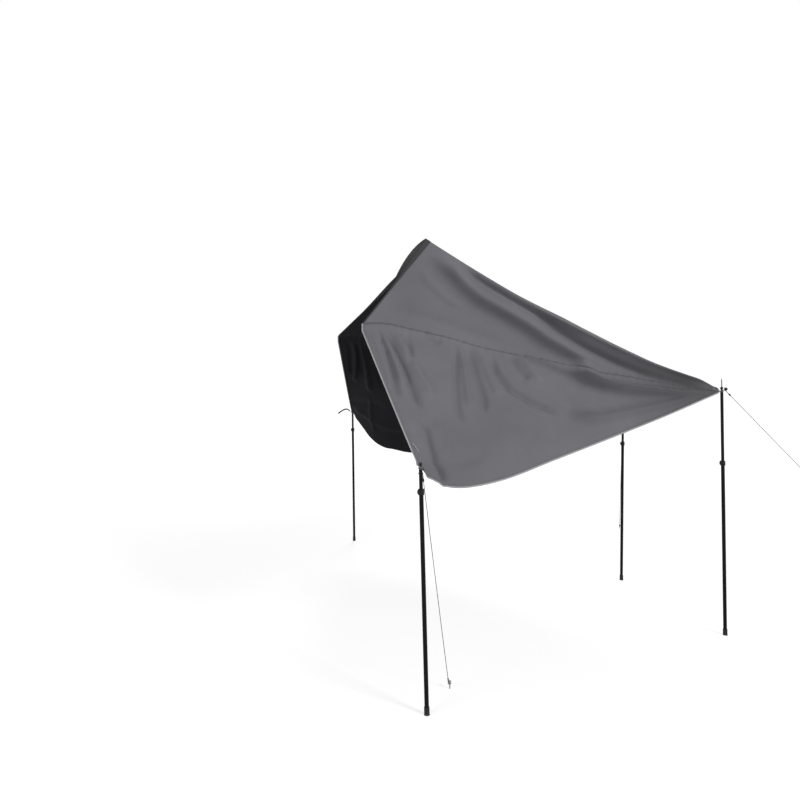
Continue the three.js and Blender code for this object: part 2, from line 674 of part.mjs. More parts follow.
const firstColumn = (grid) => grid[0].map((p, j) => ({ here: p, inner: grid[1][j] }));
const firstRow = (grid) => grid.map((line) => ({ here: line[0], inner: line[1] }));
const lastRow = (grid) => grid.map((line) => ({ here: line[line.length - 1], inner: line[line.length - 2] }));

function zipFlapWidth(t) {
  const side = Math.min(t, 1 - t) / RIDGE_SHARE;
  return ZIP_FLAP_TAPERED + (ZIP_FLAP_WIDTH - ZIP_FLAP_TAPERED) * smooth((side - FLAP_TAPER_SHARE)
    / (1 - FLAP_TAPER_SHARE));
}

function buildCloth() {
  const roof = sample(roofPoint, CLOTH_ACROSS, CLOTH_ALONG);
  const roofNormals = gridNormals(roof);
  const near = sample((along, down) => sidePoint('near', along, down), CLOTH_ALONG, SIDE_DEEP);
  const nearNormals = gridNormals(near);
  const far = sample((along, down) => sidePoint('far', along, down), CLOTH_ALONG, FAR_DEEP);
  const farNormals = gridNormals(far);
  joinAtSeam(roof, roofNormals, 0, near, nearNormals);
  joinAtSeam(roof, roofNormals, CLOTH_ACROSS, far, farNormals);
  const outer = ['near_outer', 'far_outer'];
  const hem = () => HEM_WIDTH;
  const hems = {
    outer_hem: [borderStations(roof, roofNormals, lastRow, hem).slice(
      Math.round(CLOTH_ACROSS * RIDGE_SHARE), Math.round(CLOTH_ACROSS * (1 - RIDGE_SHARE)) + 1), outer],
    near_front_hem: [borderStations(near, nearNormals, firstColumn, hem), ['near_tent']],
    near_lower_hem: [borderStations(near, nearNormals, lastRow, hem), ['near_tent', 'near_outer']],
    far_front_hem: [borderStations(far, farNormals, firstColumn, hem), ['far_tent']],
    far_lower_hem: [borderStations(far, farNormals, lastRow, hem), ['far_tent', 'far_outer']],
  };
  const panels = { roof_panel: [slab(roof, roofNormals, CLOTH), outer, ['outer_hem']],
    near_side_panel: [slab(near, nearNormals, CLOTH), ['near_tent', 'near_outer'],
      ['near_front_hem', 'near_lower_hem']],
    far_side_panel: [slab(far, farNormals, CLOTH), ['far_tent', 'far_outer'],
      ['far_front_hem', 'far_lower_hem']] };
  const roofSpace = slab(roof, roofNormals, CLOTH + 2 * CLEARANCE);
  for (const [name, [solid, corners, edges]] of Object.entries(panels)) {
    const cut = withoutPatches(solid, corners);
    const hemmed = trimmed(cut, edges.map((edge) => hems[edge][0]), HEM_THICKNESS);
    addPart(name, name === 'far_side_panel' ? hemmed.subtract(roofSpace) : hemmed, 'cloth');
  }
  for (const [name, [stations, corners]] of Object.entries(hems)) {
    addPart(name, withoutPatches(edgeStrip(stations, HEM_THICKNESS), corners), 'hem');
  }
  addPart('tent_edge_strip', edgeStrip(borderStations(roof, roofNormals, firstRow, zipFlapWidth),
    ZIP_FLAP_THICKNESS), 'flap');
}

// Ropes

// A rope loop round a post, both strands drawn together at a slider or a knot.
// Drawn about the post on +Z with the rope leaving along +X and down by a slope.
function ropeLoop(post, reach, fall, radius, length, flatRun) {
  const way = vec(reach, 0, -fall).normalize();
  const end = vec(flatRun, 0, 0).addScaledVector(way, Math.hypot(reach, fall));
  const points = [end.clone().add(vec(0, ROPE / 2, 0)), vec(flatRun, ROPE, -ROPE / 4)];
  for (let k = 0; k <= 8; k += 1) {
    const turn = radians(62 + 29.5 * k);
    points.push(vec(Math.cos(turn) * post, Math.sin(turn) * post, 0));
  }
  points.push(vec(flatRun, -ROPE, -ROPE / 4), end.clone().add(vec(0, -ROPE / 2, 0)));
  const strand = cord(new THREE.CatmullRomCurve3(points), ROPE, 30, 6);
  const grip = turned([[0, -length / 2], [radius / 2, -length / 2], [radius, -length / 4],
    [radius, length / 4], [radius / 2, length / 2], [0, length / 2]], 10);
  const turn = new THREE.Quaternion().setFromUnitVectors(vec(0, 0, 1), way);
  const place = new THREE.Matrix4().compose(end, turn, vec(1, 1, 1));
  return { solid: strand.add(moved(grip, place)), exit: end.addScaledVector(way, length / 2 + CLEARANCE), way };
}

function buildGuy(name, guy) {
  const pole = POLES[name];
  const corner = cornerPoint(name);
  const peg = vec(guy.pegX, guy.pegY, PEG_LOOP_HEIGHT);
  const flat = Math.hypot(peg.x - corner.x, peg.y - corner.y);
  const azimuth = THREE.MathUtils.radToDeg(Math.atan2(peg.y - corner.y, peg.x - corner.x));
  const rise = corner.z - peg.z;
  const slope = Math.hypot(flat, rise);
  const post = guy.onTube ? UPPER_RADIUS : SPIKE_RADIUS + LOOP_SLACK;
  const level = guy.onTube ? -TUBE_LOOP_DROP - TUBE_TOP_DROP
    : PATCH_HALF + 2 * CLEARANCE + EYELET_FLANGE + ROPE / 2;
  const run = post + CLEARANCE + ROPE / 2 + (guy.onTube ? ROPE : PATCH_TIP_RADIUS - SPIKE_RADIUS);
  const upper = ropeLoop(post + LOOP_CLEARANCE + ROPE / 2, SLIDER_DROP * flat / slope,
    SLIDER_DROP * rise / slope, SLIDER_RADIUS, SLIDER_LENGTH, run);
  const pulled = LOOP_SLACK - CLEARANCE;     // a pulled loop bears on the back of its post
  const topFrame = poleFrame(pole, azimuth).multiply(new THREE.Matrix4()
    .makeTranslation(guy.onTube ? 0 : pulled, 0, poleLength(pole) + level));
  addPart(`${name}_guy_slider`, moved(upper.solid, topFrame), 'webbing');
  const lower = ropeLoop(PEG_STEM + LOOP_SLACK + ROPE / 2, KNOT_REACH * flat / slope,
    -KNOT_REACH * rise / slope, KNOT_RADIUS, KNOT_LENGTH, PEG_STEM + LOOP_SLACK + ROPE);
  const pegTurn = new THREE.Matrix4().makeRotationZ(radians(azimuth + 180));
  const pegFrame = new THREE.Matrix4().makeTranslation(peg.x, peg.y, peg.z).multiply(pegTurn)
    .multiply(new THREE.Matrix4().makeTranslation(pulled, 0, 0));
  addPart(`${name}_guy_knot`, moved(lower.solid, pegFrame), 'rope');
  const from = upper.exit.applyMatrix4(topFrame);
  const to = lower.exit.applyMatrix4(pegFrame);
  const points = [];
  for (let k = 0; k <= 10; k += 1) {
    const point = mix(from, to, k / 10);
    point.z -= ROPE_SAG * arch(k / 10);
    points.push(point);
  }
  addPart(`${name}_guy_rope`, cord(new THREE.CatmullRomCurve3(points), ROPE, 22), 'rope');
  const pegSolid = turned([[0, 0], [PEG_STEM, 0], [PEG_STEM, PEG_STANDS - PEG_HEAD_HEIGHT],
    [PEG_HEAD, PEG_STANDS - PEG_HEAD_HEIGHT], [PEG_HEAD, PEG_STANDS - PEG_HEAD_HEIGHT / 2],
    [PEG_HEAD / 2, PEG_STANDS], [0, PEG_STANDS]], 12);
  addPart(`${name}_guy_peg`, pegSolid.translate([guy.pegX, guy.pegY, 0]), 'steel');
}

function webbingTail() {
  const pole = POLES.far_tent;
  const start = PATCH_TIP_RADIUS + 3 * CLEARANCE;
  const curve = new THREE.CatmullRomCurve3(TAIL_SHARES.map(([out, up]) => (
    vec(start + TAIL_REACH * out, 0, TAIL_RISE * up))));
  const steps = 14;
  const grid = curve.getPoints(steps).map((p) => [
    p.clone().add(vec(0, -TAIL_WIDTH / 2, 0)), p.clone().add(vec(0, TAIL_WIDTH / 2, 0))]);
  const solid = slab(grid, gridNormals(grid), TAIL_THICKNESS);
  const frame = poleFrame(pole, TAIL_AZIMUTH)
    .multiply(new THREE.Matrix4().makeTranslation(0, 0, poleLength(pole)));
  return moved(solid, frame);
}

function buildPole(name, pole) {
  const length = poleLength(pole);
  const upright = poleFrame(pole);
  const facing = poleFrame(pole, LEVER_FACING);
  addPart(`${name}_foot`, footCap(pole), 'rubber');
  addPart(`${name}_lower_tube`, moved(lowerTube(), upright), 'tube');
  addPart(`${name}_clamp`, moved(clampCollar(), facing), 'plastic');
  addPart(`${name}_lever`, moved(clampLever(), facing), 'plastic');
  addPart(`${name}_upper_tube`, moved(upperTube(length), upright), 'tube');
  addPart(`${name}_spike`, moved(spikePlug(length), upright), 'steel');
  addPart(`${name}_knob`, moved(spikeKnob(length), upright), 'plastic');
  addPart(`${name}_eyelet`, moved(eyelet(length), upright), 'steel');
  const patchFrame = poleFrame(pole, patchAzimuth(name));
  addPart(`${name}_patch`, moved(cornerPatch(length), patchFrame), 'webbing');
}

buildCloth();
for (const [name, pole] of Object.entries(POLES)) buildPole(name, pole);
for (const [name, guy] of Object.entries(GUYS)) buildGuy(name, guy);
addPart('far_tent_tail', webbingTail(), 'webbing');

// The origin is under the middle of everything but the guy ropes and their ends.
function centred(meshes) {
  const box = new THREE.Box3();
  for (const mesh of meshes.filter(({ name }) => !name.includes('_guy_'))) box.expandByObject(mesh);
  const middle = box.getCenter(vec(0, 0, 0));
  for (const mesh of meshes) mesh.geometry.translate(-middle.x, -middle.y, 0);
  console.log('origin', middle.x.toFixed(3), middle.y.toFixed(3));
}

centred(parts);
const group = new THREE.Group();
group.add(...parts);
export default group;
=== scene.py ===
import math

import bmesh
import bpy
import numpy as np
from mathutils import Matrix, Vector
from mathutils.bvhtree import BVHTree


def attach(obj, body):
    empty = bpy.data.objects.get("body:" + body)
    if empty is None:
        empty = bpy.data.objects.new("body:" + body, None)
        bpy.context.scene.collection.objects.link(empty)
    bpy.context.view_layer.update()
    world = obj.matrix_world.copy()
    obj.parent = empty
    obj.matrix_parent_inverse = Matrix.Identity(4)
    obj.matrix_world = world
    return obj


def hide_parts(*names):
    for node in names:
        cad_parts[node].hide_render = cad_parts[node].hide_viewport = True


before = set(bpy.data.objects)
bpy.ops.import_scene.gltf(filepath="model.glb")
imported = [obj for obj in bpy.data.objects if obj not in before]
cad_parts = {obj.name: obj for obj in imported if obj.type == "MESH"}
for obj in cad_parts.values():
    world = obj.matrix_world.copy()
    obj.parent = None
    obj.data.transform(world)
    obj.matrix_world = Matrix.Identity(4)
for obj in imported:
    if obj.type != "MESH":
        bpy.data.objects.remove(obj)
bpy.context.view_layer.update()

# Rubber feet. Each pole stands in a ribbed cap of moulded rubber, pressed on over
# the end of its lower tube. The soles are dusty and scuffed pale where they grip.


def from_zip(x, y, z=0.0):
    """A place in metres from the ground below the middle of the zip edge."""
    return Vector((x - 1.235845, y - 0.013241, z))


poles = {  # each pole's foot, and the corner of the cloth that it holds up
    "near_tent": (from_zip(0.228, -1.687), from_zip(0.192, -1.692, 1.318)),
    "near_outer": (from_zip(2.487, -1.103), from_zip(2.460, -1.103, 1.690)),
    "far_outer": (from_zip(2.379, 0.057), from_zip(2.392, 0.050, 1.693)),
    "far_tent": (from_zip(0.227, 1.724), from_zip(0.207, 1.704, 1.369)),
}
corners = {name: corner for name, (_, corner) in poles.items()}
reach_up = {name: (corner - foot).length for name, (foot, corner) in poles.items()}


def stand_on_pole(name, turn=0.0, up=0.0, out=0.0, aside=0.0):
    """A frame on a pole, up from its foot, whose +Z runs on along the pole's axis."""
    lean = Vector((0, 0, 1)).rotation_difference(corners[name] - poles[name][0])
    return (Matrix.Translation(poles[name][0]) @ lean.to_matrix().to_4x4()
            @ Matrix.Rotation(math.radians(turn), 4, "Z") @ Matrix.Translation((out, aside, up)))


def closed(bm, gap=1e-6):
    """Joins what meets, fills open ends and turns every face outward."""
    bmesh.ops.remove_doubles(bm, verts=bm.verts, dist=gap)
    bmesh.ops.holes_fill(bm, edges=[e for e in bm.edges if e.is_boundary], sides=0)
    bmesh.ops.recalc_face_normals(bm, faces=bm.faces)
    return bm


def turned(profile, steps=48, sweep=math.tau):
    """Spins a closed outline of (radius, height) pairs about +Z."""
    bm = bmesh.new()
    verts = [bm.verts.new((radius, 0, height)) for radius, height in profile]
    edges = [bm.edges.new(pair) for pair in zip(verts, verts[1:])]
    if profile[0][0] > 0 or profile[-1][0] > 0:
        edges.append(bm.edges.new((verts[-1], verts[0])))
    bmesh.ops.spin(bm, geom=verts + edges, cent=(0, 0, 0), axis=(0, 0, 1), angle=sweep,
                   steps=steps, use_merge=sweep == math.tau)
    closed(bm)
    bmesh.ops.dissolve_degenerate(bm, edges=bm.edges, dist=1e-7)
    return bm


def placed(name, data, place=(0, 0, 0)):
    """Puts a new object in the scene, at the origin unless a place is given."""
    thing = bpy.data.objects.new(name, data)
    bpy.context.scene.collection.objects.link(thing)
    thing.location = place
    return thing


def keep(name, bm, body, look, stands_for=(), place=None, sharp=32):
    """Writes a mesh to a finished piece that rides on its body."""
    if place is not None:
        bmesh.ops.transform(bm, matrix=place, verts=bm.verts)
    mesh = bpy.data.meshes.new(name)
    bm.to_mesh(mesh)
    bm.free()
    mesh.shade_smooth()
    mesh.set_sharp_from_angle(angle=math.radians(sharp))
    piece = placed(name, mesh)
    for each in look if isinstance(look, list) else [look]:
        mesh.materials.append(each)
    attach(piece, body)
    if stands_for:
        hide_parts(*stands_for)
    return piece


def seen(red, green, blue):
    """A colour as the eye reads it, 0 to 255, as the shader's linear values."""
    shares = [c / 255 for c in (red, green, blue)]
    return tuple(c / 12.92 if c <= 0.04045 else ((c + 0.055) / 1.055) ** 2.4
                 for c in shares) + (1.0,)


class Nodes:
    """Adds nodes to a tree; each call gives the new node's output."""

    def __init__(self, tree):
        self.tree = tree

    def __call__(self, kind, inputs=None, out=None, **settings):
        made = self.tree.nodes.new("ShaderNode" + kind)
        for key, value in settings.items():
            setattr(made, key, value)
        for key, value in (inputs or {}).items():
            if isinstance(value, bpy.types.NodeSocket):
                self.tree.links.new(value, made.inputs[key])
            else:
                made.inputs[key].default_value = value
        return made.outputs[out or ("Fac" if "Fac" in made.outputs else 0)]

    def noise(self, place, scale, detail, roughness=0.5):
        return self("TexNoise", {"Vector": place, "Scale": scale, "Detail": detail,
                                 "Roughness": roughness})

    def math(self, operation, *values):
        return self("Math", dict(enumerate(values)), operation=operation)

    def spread(self, value, start, end, low, high, **settings):
        return self("MapRange", {"Value": value, "From Min": start, "From Max": end,
                                 "To Min": low, "To Max": high}, **settings)

    def shade(self, factor, dark, light, low=0.3, high=0.7):
        """A colour that runs from dark to light as the factor goes from low to high."""
        ramp = self("ValToRGB", {"Fac": factor})
        stops = ramp.node.color_ramp.elements
        stops[0].position, stops[1].position = low, high
        stops[0].color, stops[1].color = seen(*dark), seen(*light)
        return ramp

    def bump(self, height, strength, distance, **under):
        return self("Bump", {"Height": height, "Strength": strength, "Distance": distance,
                             **under})

    def plug(self, **links):
        shader = self.tree.nodes["Principled BSDF"]
        for socket, value in links.items():
            self.tree.links.new(value, shader.inputs[socket.replace("_", " ")])


def start_look(name, roughness, metallic=0.0, gloss=0.5, **values):
    """A material with its plain values set, its node maker and its place on the object."""
    look = bpy.data.materials.new(name)
    look.use_nodes = True
    nodes, inputs = Nodes(look.node_tree), look.node_tree.nodes["Principled BSDF"].inputs
    inputs["Roughness"].default_value = roughness
    inputs["Metallic"].default_value = metallic
    inputs["Specular IOR Level"].default_value = gloss
    for socket, value in values.items():
        inputs[socket.replace("_", " ").title()].default_value = value
    return look, nodes, nodes("TexCoord", out="Object")


def rubber_look():
    look, nodes, place = start_look("foot_rubber", 0.82)
    height = nodes("SeparateXYZ", {"Vector": place}, "Z")
    dusty = nodes.math("MULTIPLY", nodes.noise(place, 60.0, 5.0),
                       nodes.spread(height, 0.014, 0.0, 0.0, 1.0))
    nodes.plug(Base_Color=nodes.shade(dusty, (19, 19, 19), (92, 88, 82), 0.1, 0.8),
               Normal=nodes.bump(nodes.noise(place, 900.0, 3.0), 0.25, 0.0004))
    return look


foot_rubber = rubber_look()
lower_radius, tube_wall, sole, snug = 0.012, 0.0012, 0.007, 0.0003
skirt, groove, rib, cap_high = 0.0162, 0.0142, 0.0150, 0.0420
for name in poles:
    outline = [(0, -0.006), (0.0155, -0.006), (skirt, 0.0006), (skirt, 0.0028), (0.0156, 0.0036)]
    for low in (0.007, 0.017, 0.027):
        outline += [(groove, low - 0.0006), (groove, low + 0.0044), (rib, low + 0.0050),
                    (rib, low + 0.0086), (groove, low + 0.0092)]
    outline += [(groove, cap_high - 0.001), (groove - 0.0006, cap_high),
                (lower_radius + snug, cap_high), (lower_radius + snug, sole), (0, sole)]
    foot = turned(outline)
    bmesh.ops.transform(foot, matrix=stand_on_pole(name), verts=foot.verts)
    bmesh.ops.bisect_plane(foot, geom=foot.verts[:] + foot.edges[:] + foot.faces[:],
                           plane_co=(0, 0, 0), plane_no=(0, 0, 1), clear_inner=True)
    keep(f"{name}_foot_cap", closed(foot), f"{name}_leg", foot_rubber,
         [f"{name}_foot"])

# Lower tubes. Round aluminium tube, 24 mm across, dyed black and sealed. The cut
# mouth is deburred, and the sleeve shows fine rub marks along its length.


def on_pole(name, kind, outline, part, look, node, up=0.0):
    """Turns a piece of a pole, its heights counted from the foot or from further up."""
    keep(f"{name}_{kind}", turned(outline), f"{name}_{part}", look, [f"{name}_{node}"],
         stand_on_pole(name, up=up))


def tube_look(name, tone, shine):
    look, nodes, place = start_look(name, shine, 0.25, gloss=0.16)
    drawn = nodes("Mapping", {"Vector": place, "Scale": (260.0, 260.0, 3.0)})
    streaks, marks = nodes.noise(drawn, 1.0, 3.0), nodes.noise(place, 34.0, 6.0, 0.7)
    worn = nodes.math("MULTIPLY", streaks, marks)
    nodes.plug(Base_Color=nodes.shade(worn, tone, (42, 42, 44), 0.30, 0.62),
               Roughness=nodes.spread(marks, 0.3, 0.7, shine - 0.08, shine + 0.14),
               Normal=nodes.bump(streaks, 0.12, 0.0002))
    return look


pole_black = tube_look("lower_tube_black", (13, 13, 14), 0.40)
lower_length, off_sole = 1.2, sole + 0.0004
lower_bore = lower_radius - tube_wall
outline = [(lower_radius, off_sole), (lower_radius, lower_length - 0.0005),
           (lower_radius - 0.0004, lower_length), (lower_bore + 0.0003, lower_length),
           (lower_bore, lower_length - 0.0004), (lower_bore, off_sole)]
for name in poles:
    on_pole(name, "lower_pole", outline, "leg", pole_black, "lower_tube")

# Upper tubes. A 20 mm tube slides inside each lower one, and rings are scored on it
# where the lock is usually set. It is closed at the top by the spike's plug.

upper_radius, upper_length, top, ring_pitch, scored = 0.010, 1.0, -0.0071, 0.12, 0.0003
upper_bore = upper_radius - tube_wall
slide_black = tube_look("upper_tube_black", (15, 15, 16), 0.33)
outline = [(upper_radius, top - upper_length), (upper_radius, top - upper_length + 0.0004)]
for ring in range(7, 0, -1):
    high = top - ring_pitch * ring
    outline += [(upper_radius, high - 0.0008), (upper_radius - scored, high - 0.0004),
                (upper_radius - scored, high + 0.0004), (upper_radius, high + 0.0008)]
outline += [(upper_radius, top - 0.0004), (upper_radius - 0.0003, top), (upper_bore, top),
            (upper_bore, top - upper_length)]
for name in poles:
    on_pole(name, "upper_pole", outline, "pole", slide_black, "upper_tube",
            reach_up[name])

# Flip locks. A split collar of black nylon is pressed on the lower tube's mouth, and
# a cam lever on a steel pin squeezes it shut on the upper tube.


def nylon_look(name, tone, rough):
    look, nodes, place = start_look(name, rough, gloss=0.28)
    grain = nodes("TexVoronoi", {"Vector": place, "Scale": 1500.0})
    scuff = nodes.noise(place, 120.0, 6.0)
    nodes.plug(Base_Color=nodes.shade(scuff, tone, (44, 44, 45), 0.52, 0.86),
               Normal=nodes.bump(grain, 0.22, 0.0003))
    return look


def both_ends(half, low, high):
    """An outline from its lower half, as (radius, rise) pairs, and the same upside down."""
    return [(r, low + rise) for r, rise in half] + [(r, high - rise) for r, rise in half[::-1]]


def add_block(bm, low, high, soft):
    """Adds a box with rounded edges between two corners."""
    low, high = Vector(low), Vector(high)
    made = bmesh.ops.create_cube(bm, size=1.0, matrix=Matrix.Translation((low + high) / 2)
                                 @ Matrix.Diagonal((*(high - low), 1)))
    edges = list({e for v in made["verts"] for e in v.link_edges})
    bmesh.ops.bevel(bm, geom=edges, offset=soft, segments=2, affect="EDGES", profile=0.5,
                    material=-1)


def add_mesh(bm, other):
    """Moves another bmesh's shape into this one."""
    done = bpy.data.meshes.new("moved_shape")
    other.to_mesh(done)
    other.free()
    bm.from_mesh(done)
    bpy.data.meshes.remove(done)


def spin_by(bm, degrees):
    bmesh.ops.rotate(bm, verts=bm.verts, matrix=Matrix.Rotation(math.radians(degrees), 3, "Z"))


black_nylon = nylon_look("lock_nylon", (15, 15, 16), 0.48)
collar_radius, collar_low, collar_high, waist = 0.017, 1.175, 1.207, 0.0163
collar_wide, collar_tight, mouth = lower_radius + snug, upper_radius + snug, lower_length + snug
collar_outline = [(collar_wide, collar_low)] + both_ends(
    [(collar_radius - 0.002, 0), (collar_radius, 0.002), (collar_radius, 0.0050), (waist, 0.0057),
     (waist, 0.0113), (collar_radius, 0.0120)], collar_low, collar_high) + [
    (collar_tight, collar_high), (collar_tight, mouth), (collar_wide, mouth)]
slit = math.degrees(0.002 / collar_radius)
lever_low, lever_high, lever_in, lever_out, clear = 1.1823, 1.1997, 0.0173, 0.0213, 0.0003
lever_middle = (lever_low + lever_high) / 2
lever_outline = both_ends([(lever_in, 0.0004), (lever_in + 0.0005, 0), (lever_out - 0.0012, 0),
                           (lever_out - 0.0003, 0.0005), (lever_out, 0.0015)],
                          lever_low, lever_high)
pin_out, pin_radius, eye_radius, play = 0.0219, 0.0020, 0.0046, 0.0004
barrel_outline = both_ends([(pin_radius + play, 0), (eye_radius - 0.0006, 0), (eye_radius, 0.0006)],
                           lever_low, lever_high)
for name in poles:
    collar = turned(collar_outline, 60, math.tau - math.radians(slit))
    spin_by(collar, 35 + slit / 2)
    for low, high in ((collar_low + 0.002, lever_low - clear),
                      (lever_high + clear, collar_high - 0.002)):
        add_block(collar, (-eye_radius, -pin_out - 0.0044, low),
                  (eye_radius, -collar_radius + 0.0012, high), 0.0010)
    facing_in = stand_on_pole(name, 180)
    keep(f"{name}_lock_collar", collar, f"{name}_leg", black_nylon,
         [f"{name}_clamp"], facing_in)
    lever = turned(lever_outline, 30, math.radians(128))
    spin_by(lever, -78)
    ends = [f for f in lever.faces if len(f.verts) == len(lever_outline)]
    tip = max(ends, key=lambda f: math.atan2(*f.calc_center_median().yx))
    for out, on, shrink in ((0.0012, 0.003, 0.96), (0.0018, 0.003, 0.80)):
        grown = bmesh.ops.extrude_face_region(lever, geom=[tip])
        lever.faces.remove(tip)
        tip = next(f for f in grown["geom"] if isinstance(f, bmesh.types.BMFace))
        away = Vector((*tip.calc_center_median().xy, 0)).normalized()
        on_round = Vector((-away.y, away.x, 0)) * on
        bmesh.ops.translate(lever, verts=tip.verts[:], vec=away * out + on_round)
        bmesh.ops.scale(lever, verts=tip.verts[:], vec=(1, 1, shrink),
                        space=Matrix.Translation((0, 0, -lever_middle)))
    for turn in (26, 33, 40):
        grip = bmesh.new()
        add_block(grip, (lever_out - 0.0006, -0.0006, lever_low + 0.0024),
                  (lever_out + 0.0006, 0.0006, lever_high - 0.0024), 0.0004)
        spin_by(grip, turn)
        add_mesh(lever, grip)
    barrel = turned(barrel_outline, 28)
    bmesh.ops.translate(barrel, verts=barrel.verts, vec=(0, -pin_out, 0))
    add_mesh(lever, barrel)
    keep(f"{name}_cam_lever", lever, f"{name}_lock", black_nylon,
         [f"{name}_lever"], facing_in)

# Canopy cloth. One sheet of tightly woven polyester, grey outside; its inside is made nearly
# black, painted shade for the shadow under the roof. It is zipped up along one edge, hangs from
# its four corners and folds between them. It is laid out by its share along, from that edge out,
# and its share around.

front_fold, slope_share, bow_rise, seam_wave = 0.047, 0.25, 0.045, 0.026
rail_dip, rail_draw, pucker, slope_sag, middle_sag = 0.026, 0.055, 0.022, 0.06, 0.07
sills = {"near": from_zip(0, -0.8, 2.1), "far": from_zip(-0.02, 0.8, 2.1)}
bows = {"near": from_zip(0.454, -0.8, 2.714), "far": from_zip(0.540, 0.8, 2.690)}
seam_feet = {hand: sill + Vector((0, 0, front_fold)) for hand, sill in sills.items()}
drops = {  # how far each lower hem hangs, and the curve of its hang
    "near": (0.183, (0, .004, .01, .02, .032, .042, .052, .058, .075, .11, .16, .22, .38, .61,
                     .8, 1),
             (0, .11, .21, .31, .40, .49, .58, .66, .75, .88, .97, 1, .83, .56, .31, 0)),
    "far": (0.458, (0, .05, .075, .1, .14, .18, .24, .32, .5, .72, 1),
            (0, .36, .55, .69, .83, .89, .98, 1, .8, .45, 0))}
seam_lift = ((0, .05, .14, .24, .33, .5, .64, .75, .85, .93, 1),
             (0, 1, .9, .4, -.35, -.5, -1, -.6, -.5, -.5, 0))


def ease(t):
    t = np.clip(t, 0, 1)
    return t * t * (3 - 2 * t)


def arch(t):
    return 4 * t * (1 - t)


def mix(a, b, t):
    t = np.asarray(t)[..., None]
    return np.asarray(a) * (1 - t) + np.asarray(b) * t


def unit(ways):
    return ways / np.maximum(np.linalg.norm(ways, axis=-1, keepdims=True), 1e-12)


def run_of(points, axis=0):
    """The length run up to each point of a line or a grid."""
    steps = np.linalg.norm(np.diff(points, axis=axis), axis=-1)
    return np.insert(np.cumsum(steps, axis=axis), 0, 0, axis=axis)


def curve_at(x, stops, heights):
    """Height at x of a smooth curve through the given stops."""
    stops, heights = np.array(stops), np.array(heights)
    slope = np.gradient(heights, stops)
    k = np.clip(np.searchsorted(stops, x, side="right") - 1, 0, len(stops) - 2)
    gap = stops[k + 1] - stops[k]
    t = np.clip((x - stops[k]) / gap, 0, 1)
    return ((2 * t ** 3 - 3 * t ** 2 + 1) * heights[k] + (t ** 3 - 2 * t ** 2 + t) * gap * slope[k]
            + (3 * t ** 2 - 2 * t ** 3) * heights[k + 1] + (t ** 3 - t ** 2) * gap * slope[k + 1])


def beside_pole(name, towards, inset=0.013):
    """Where a cloth edge stops, just short of a pole on the way to a point."""
    way = (towards - corners[name]) * Vector((1, 1, 0))
    return corners[name] + way.normalized() * inset


def level_at_corners(points):
    """The cloth lies flat on the patches close to the poles."""
    for corner in corners.values():
        reach = np.hypot(points[..., 0] - corner.x, points[..., 1] - corner.y)
        points[..., 2] += (corner.z - points[..., 2]) * (1 - ease((reach - 0.014) / 0.036))
    return points


def between_slopes(across, near, middle, far):
    """Takes the near slope's, the roof top's or the far slope's value."""
    across = across[..., None]
    return np.where(across < slope_share, near, np.where(across > 1 - slope_share, far, middle))


def roof_surface(across, along):
    """The roof, by its share from the near seam to the far one and its share along."""
    top = (across - slope_share) / (1 - 2 * slope_share)
    side = np.minimum(across, 1 - across) / slope_share
    bow = mix(bows["near"], bows["far"], top)
    bow[..., 2] += bow_rise * arch(top)
    zip_side = between_slopes(across, mix(seam_feet["near"], bows["near"], side), bow,
                              mix(seam_feet["far"], bows["far"], side))
    gathered = ease((along - 0.75) * 4)
    rail_ends, slopes = [], []
    for hand, other in (("near", "far_outer"), ("far", "near_outer")):
        pole = f"{hand}_outer"
        gather = beside_pole(pole, corners[other], 0.045) + Vector((0, 0, pucker))
        rail_ends.append(mix(beside_pole(pole, corners[other], 0.09), gather, gathered))
        slopes.append(mix(beside_pole(pole, seam_feet[hand]), rail_ends[-1], side))
    rail = mix(*rail_ends, top)
    rail[..., 2] -= rail_dip * arch(top)
    rail[..., 0] -= rail_draw * arch(top)
    points = mix(zip_side, between_slopes(across, slopes[0], rail, slopes[1]), along)
    wave, sag = seam_wave * curve_at(along, *seam_lift), slope_sag * arch(along)
    points[..., 2] += np.where(side <= 1, wave * (1 - side) - sag * side,
                               -sag - middle_sag * arch(top) * arch(along))
    return level_at_corners(points)


def side_surface(hand, along, down):
    """A side, by its share along and its share down from the seam to the lower hem."""
    inner_pole, sill, foot = f"{hand}_tent", sills[hand], seam_feet[hand]
    share = along ** 1.5
    start = beside_pole(inner_pole, sill)
    hem = mix(start, beside_pole(f"{hand}_outer", corners[inner_pole]), share)
    drop, *hang = drops[hand]
    hem[..., 2] -= drop * curve_at(share, *hang)
    seam = roof_surface(np.full_like(along, 0.0 if hand == "near" else 1.0), along)
    points = mix(seam, hem, down)
    turn_up = front_fold / (front_fold + np.linalg.norm(seam - hem, axis=-1))
    front = np.where((down < turn_up)[..., None], mix(foot, sill, down / turn_up),
                     mix(sill, start, (down - turn_up) / (1 - turn_up)))
    points += (front - mix(foot, start, down)) * ((1 - along) ** 6)[..., None]
    return level_at_corners(points)


def place_of(panel, along, over):
    """A place on the roof or on the near or far side, by its share along and its share over."""
    along, over = np.array([float(along)]), np.array([float(over)])
    return (roof_surface(over, along) if panel == "roof" else side_surface(panel, along, over))[0]


def facing(points):
    """The outward normal at each point of a laid-out sheet."""
    return unit(np.cross(np.gradient(points, axis=1), np.gradient(points, axis=0)))


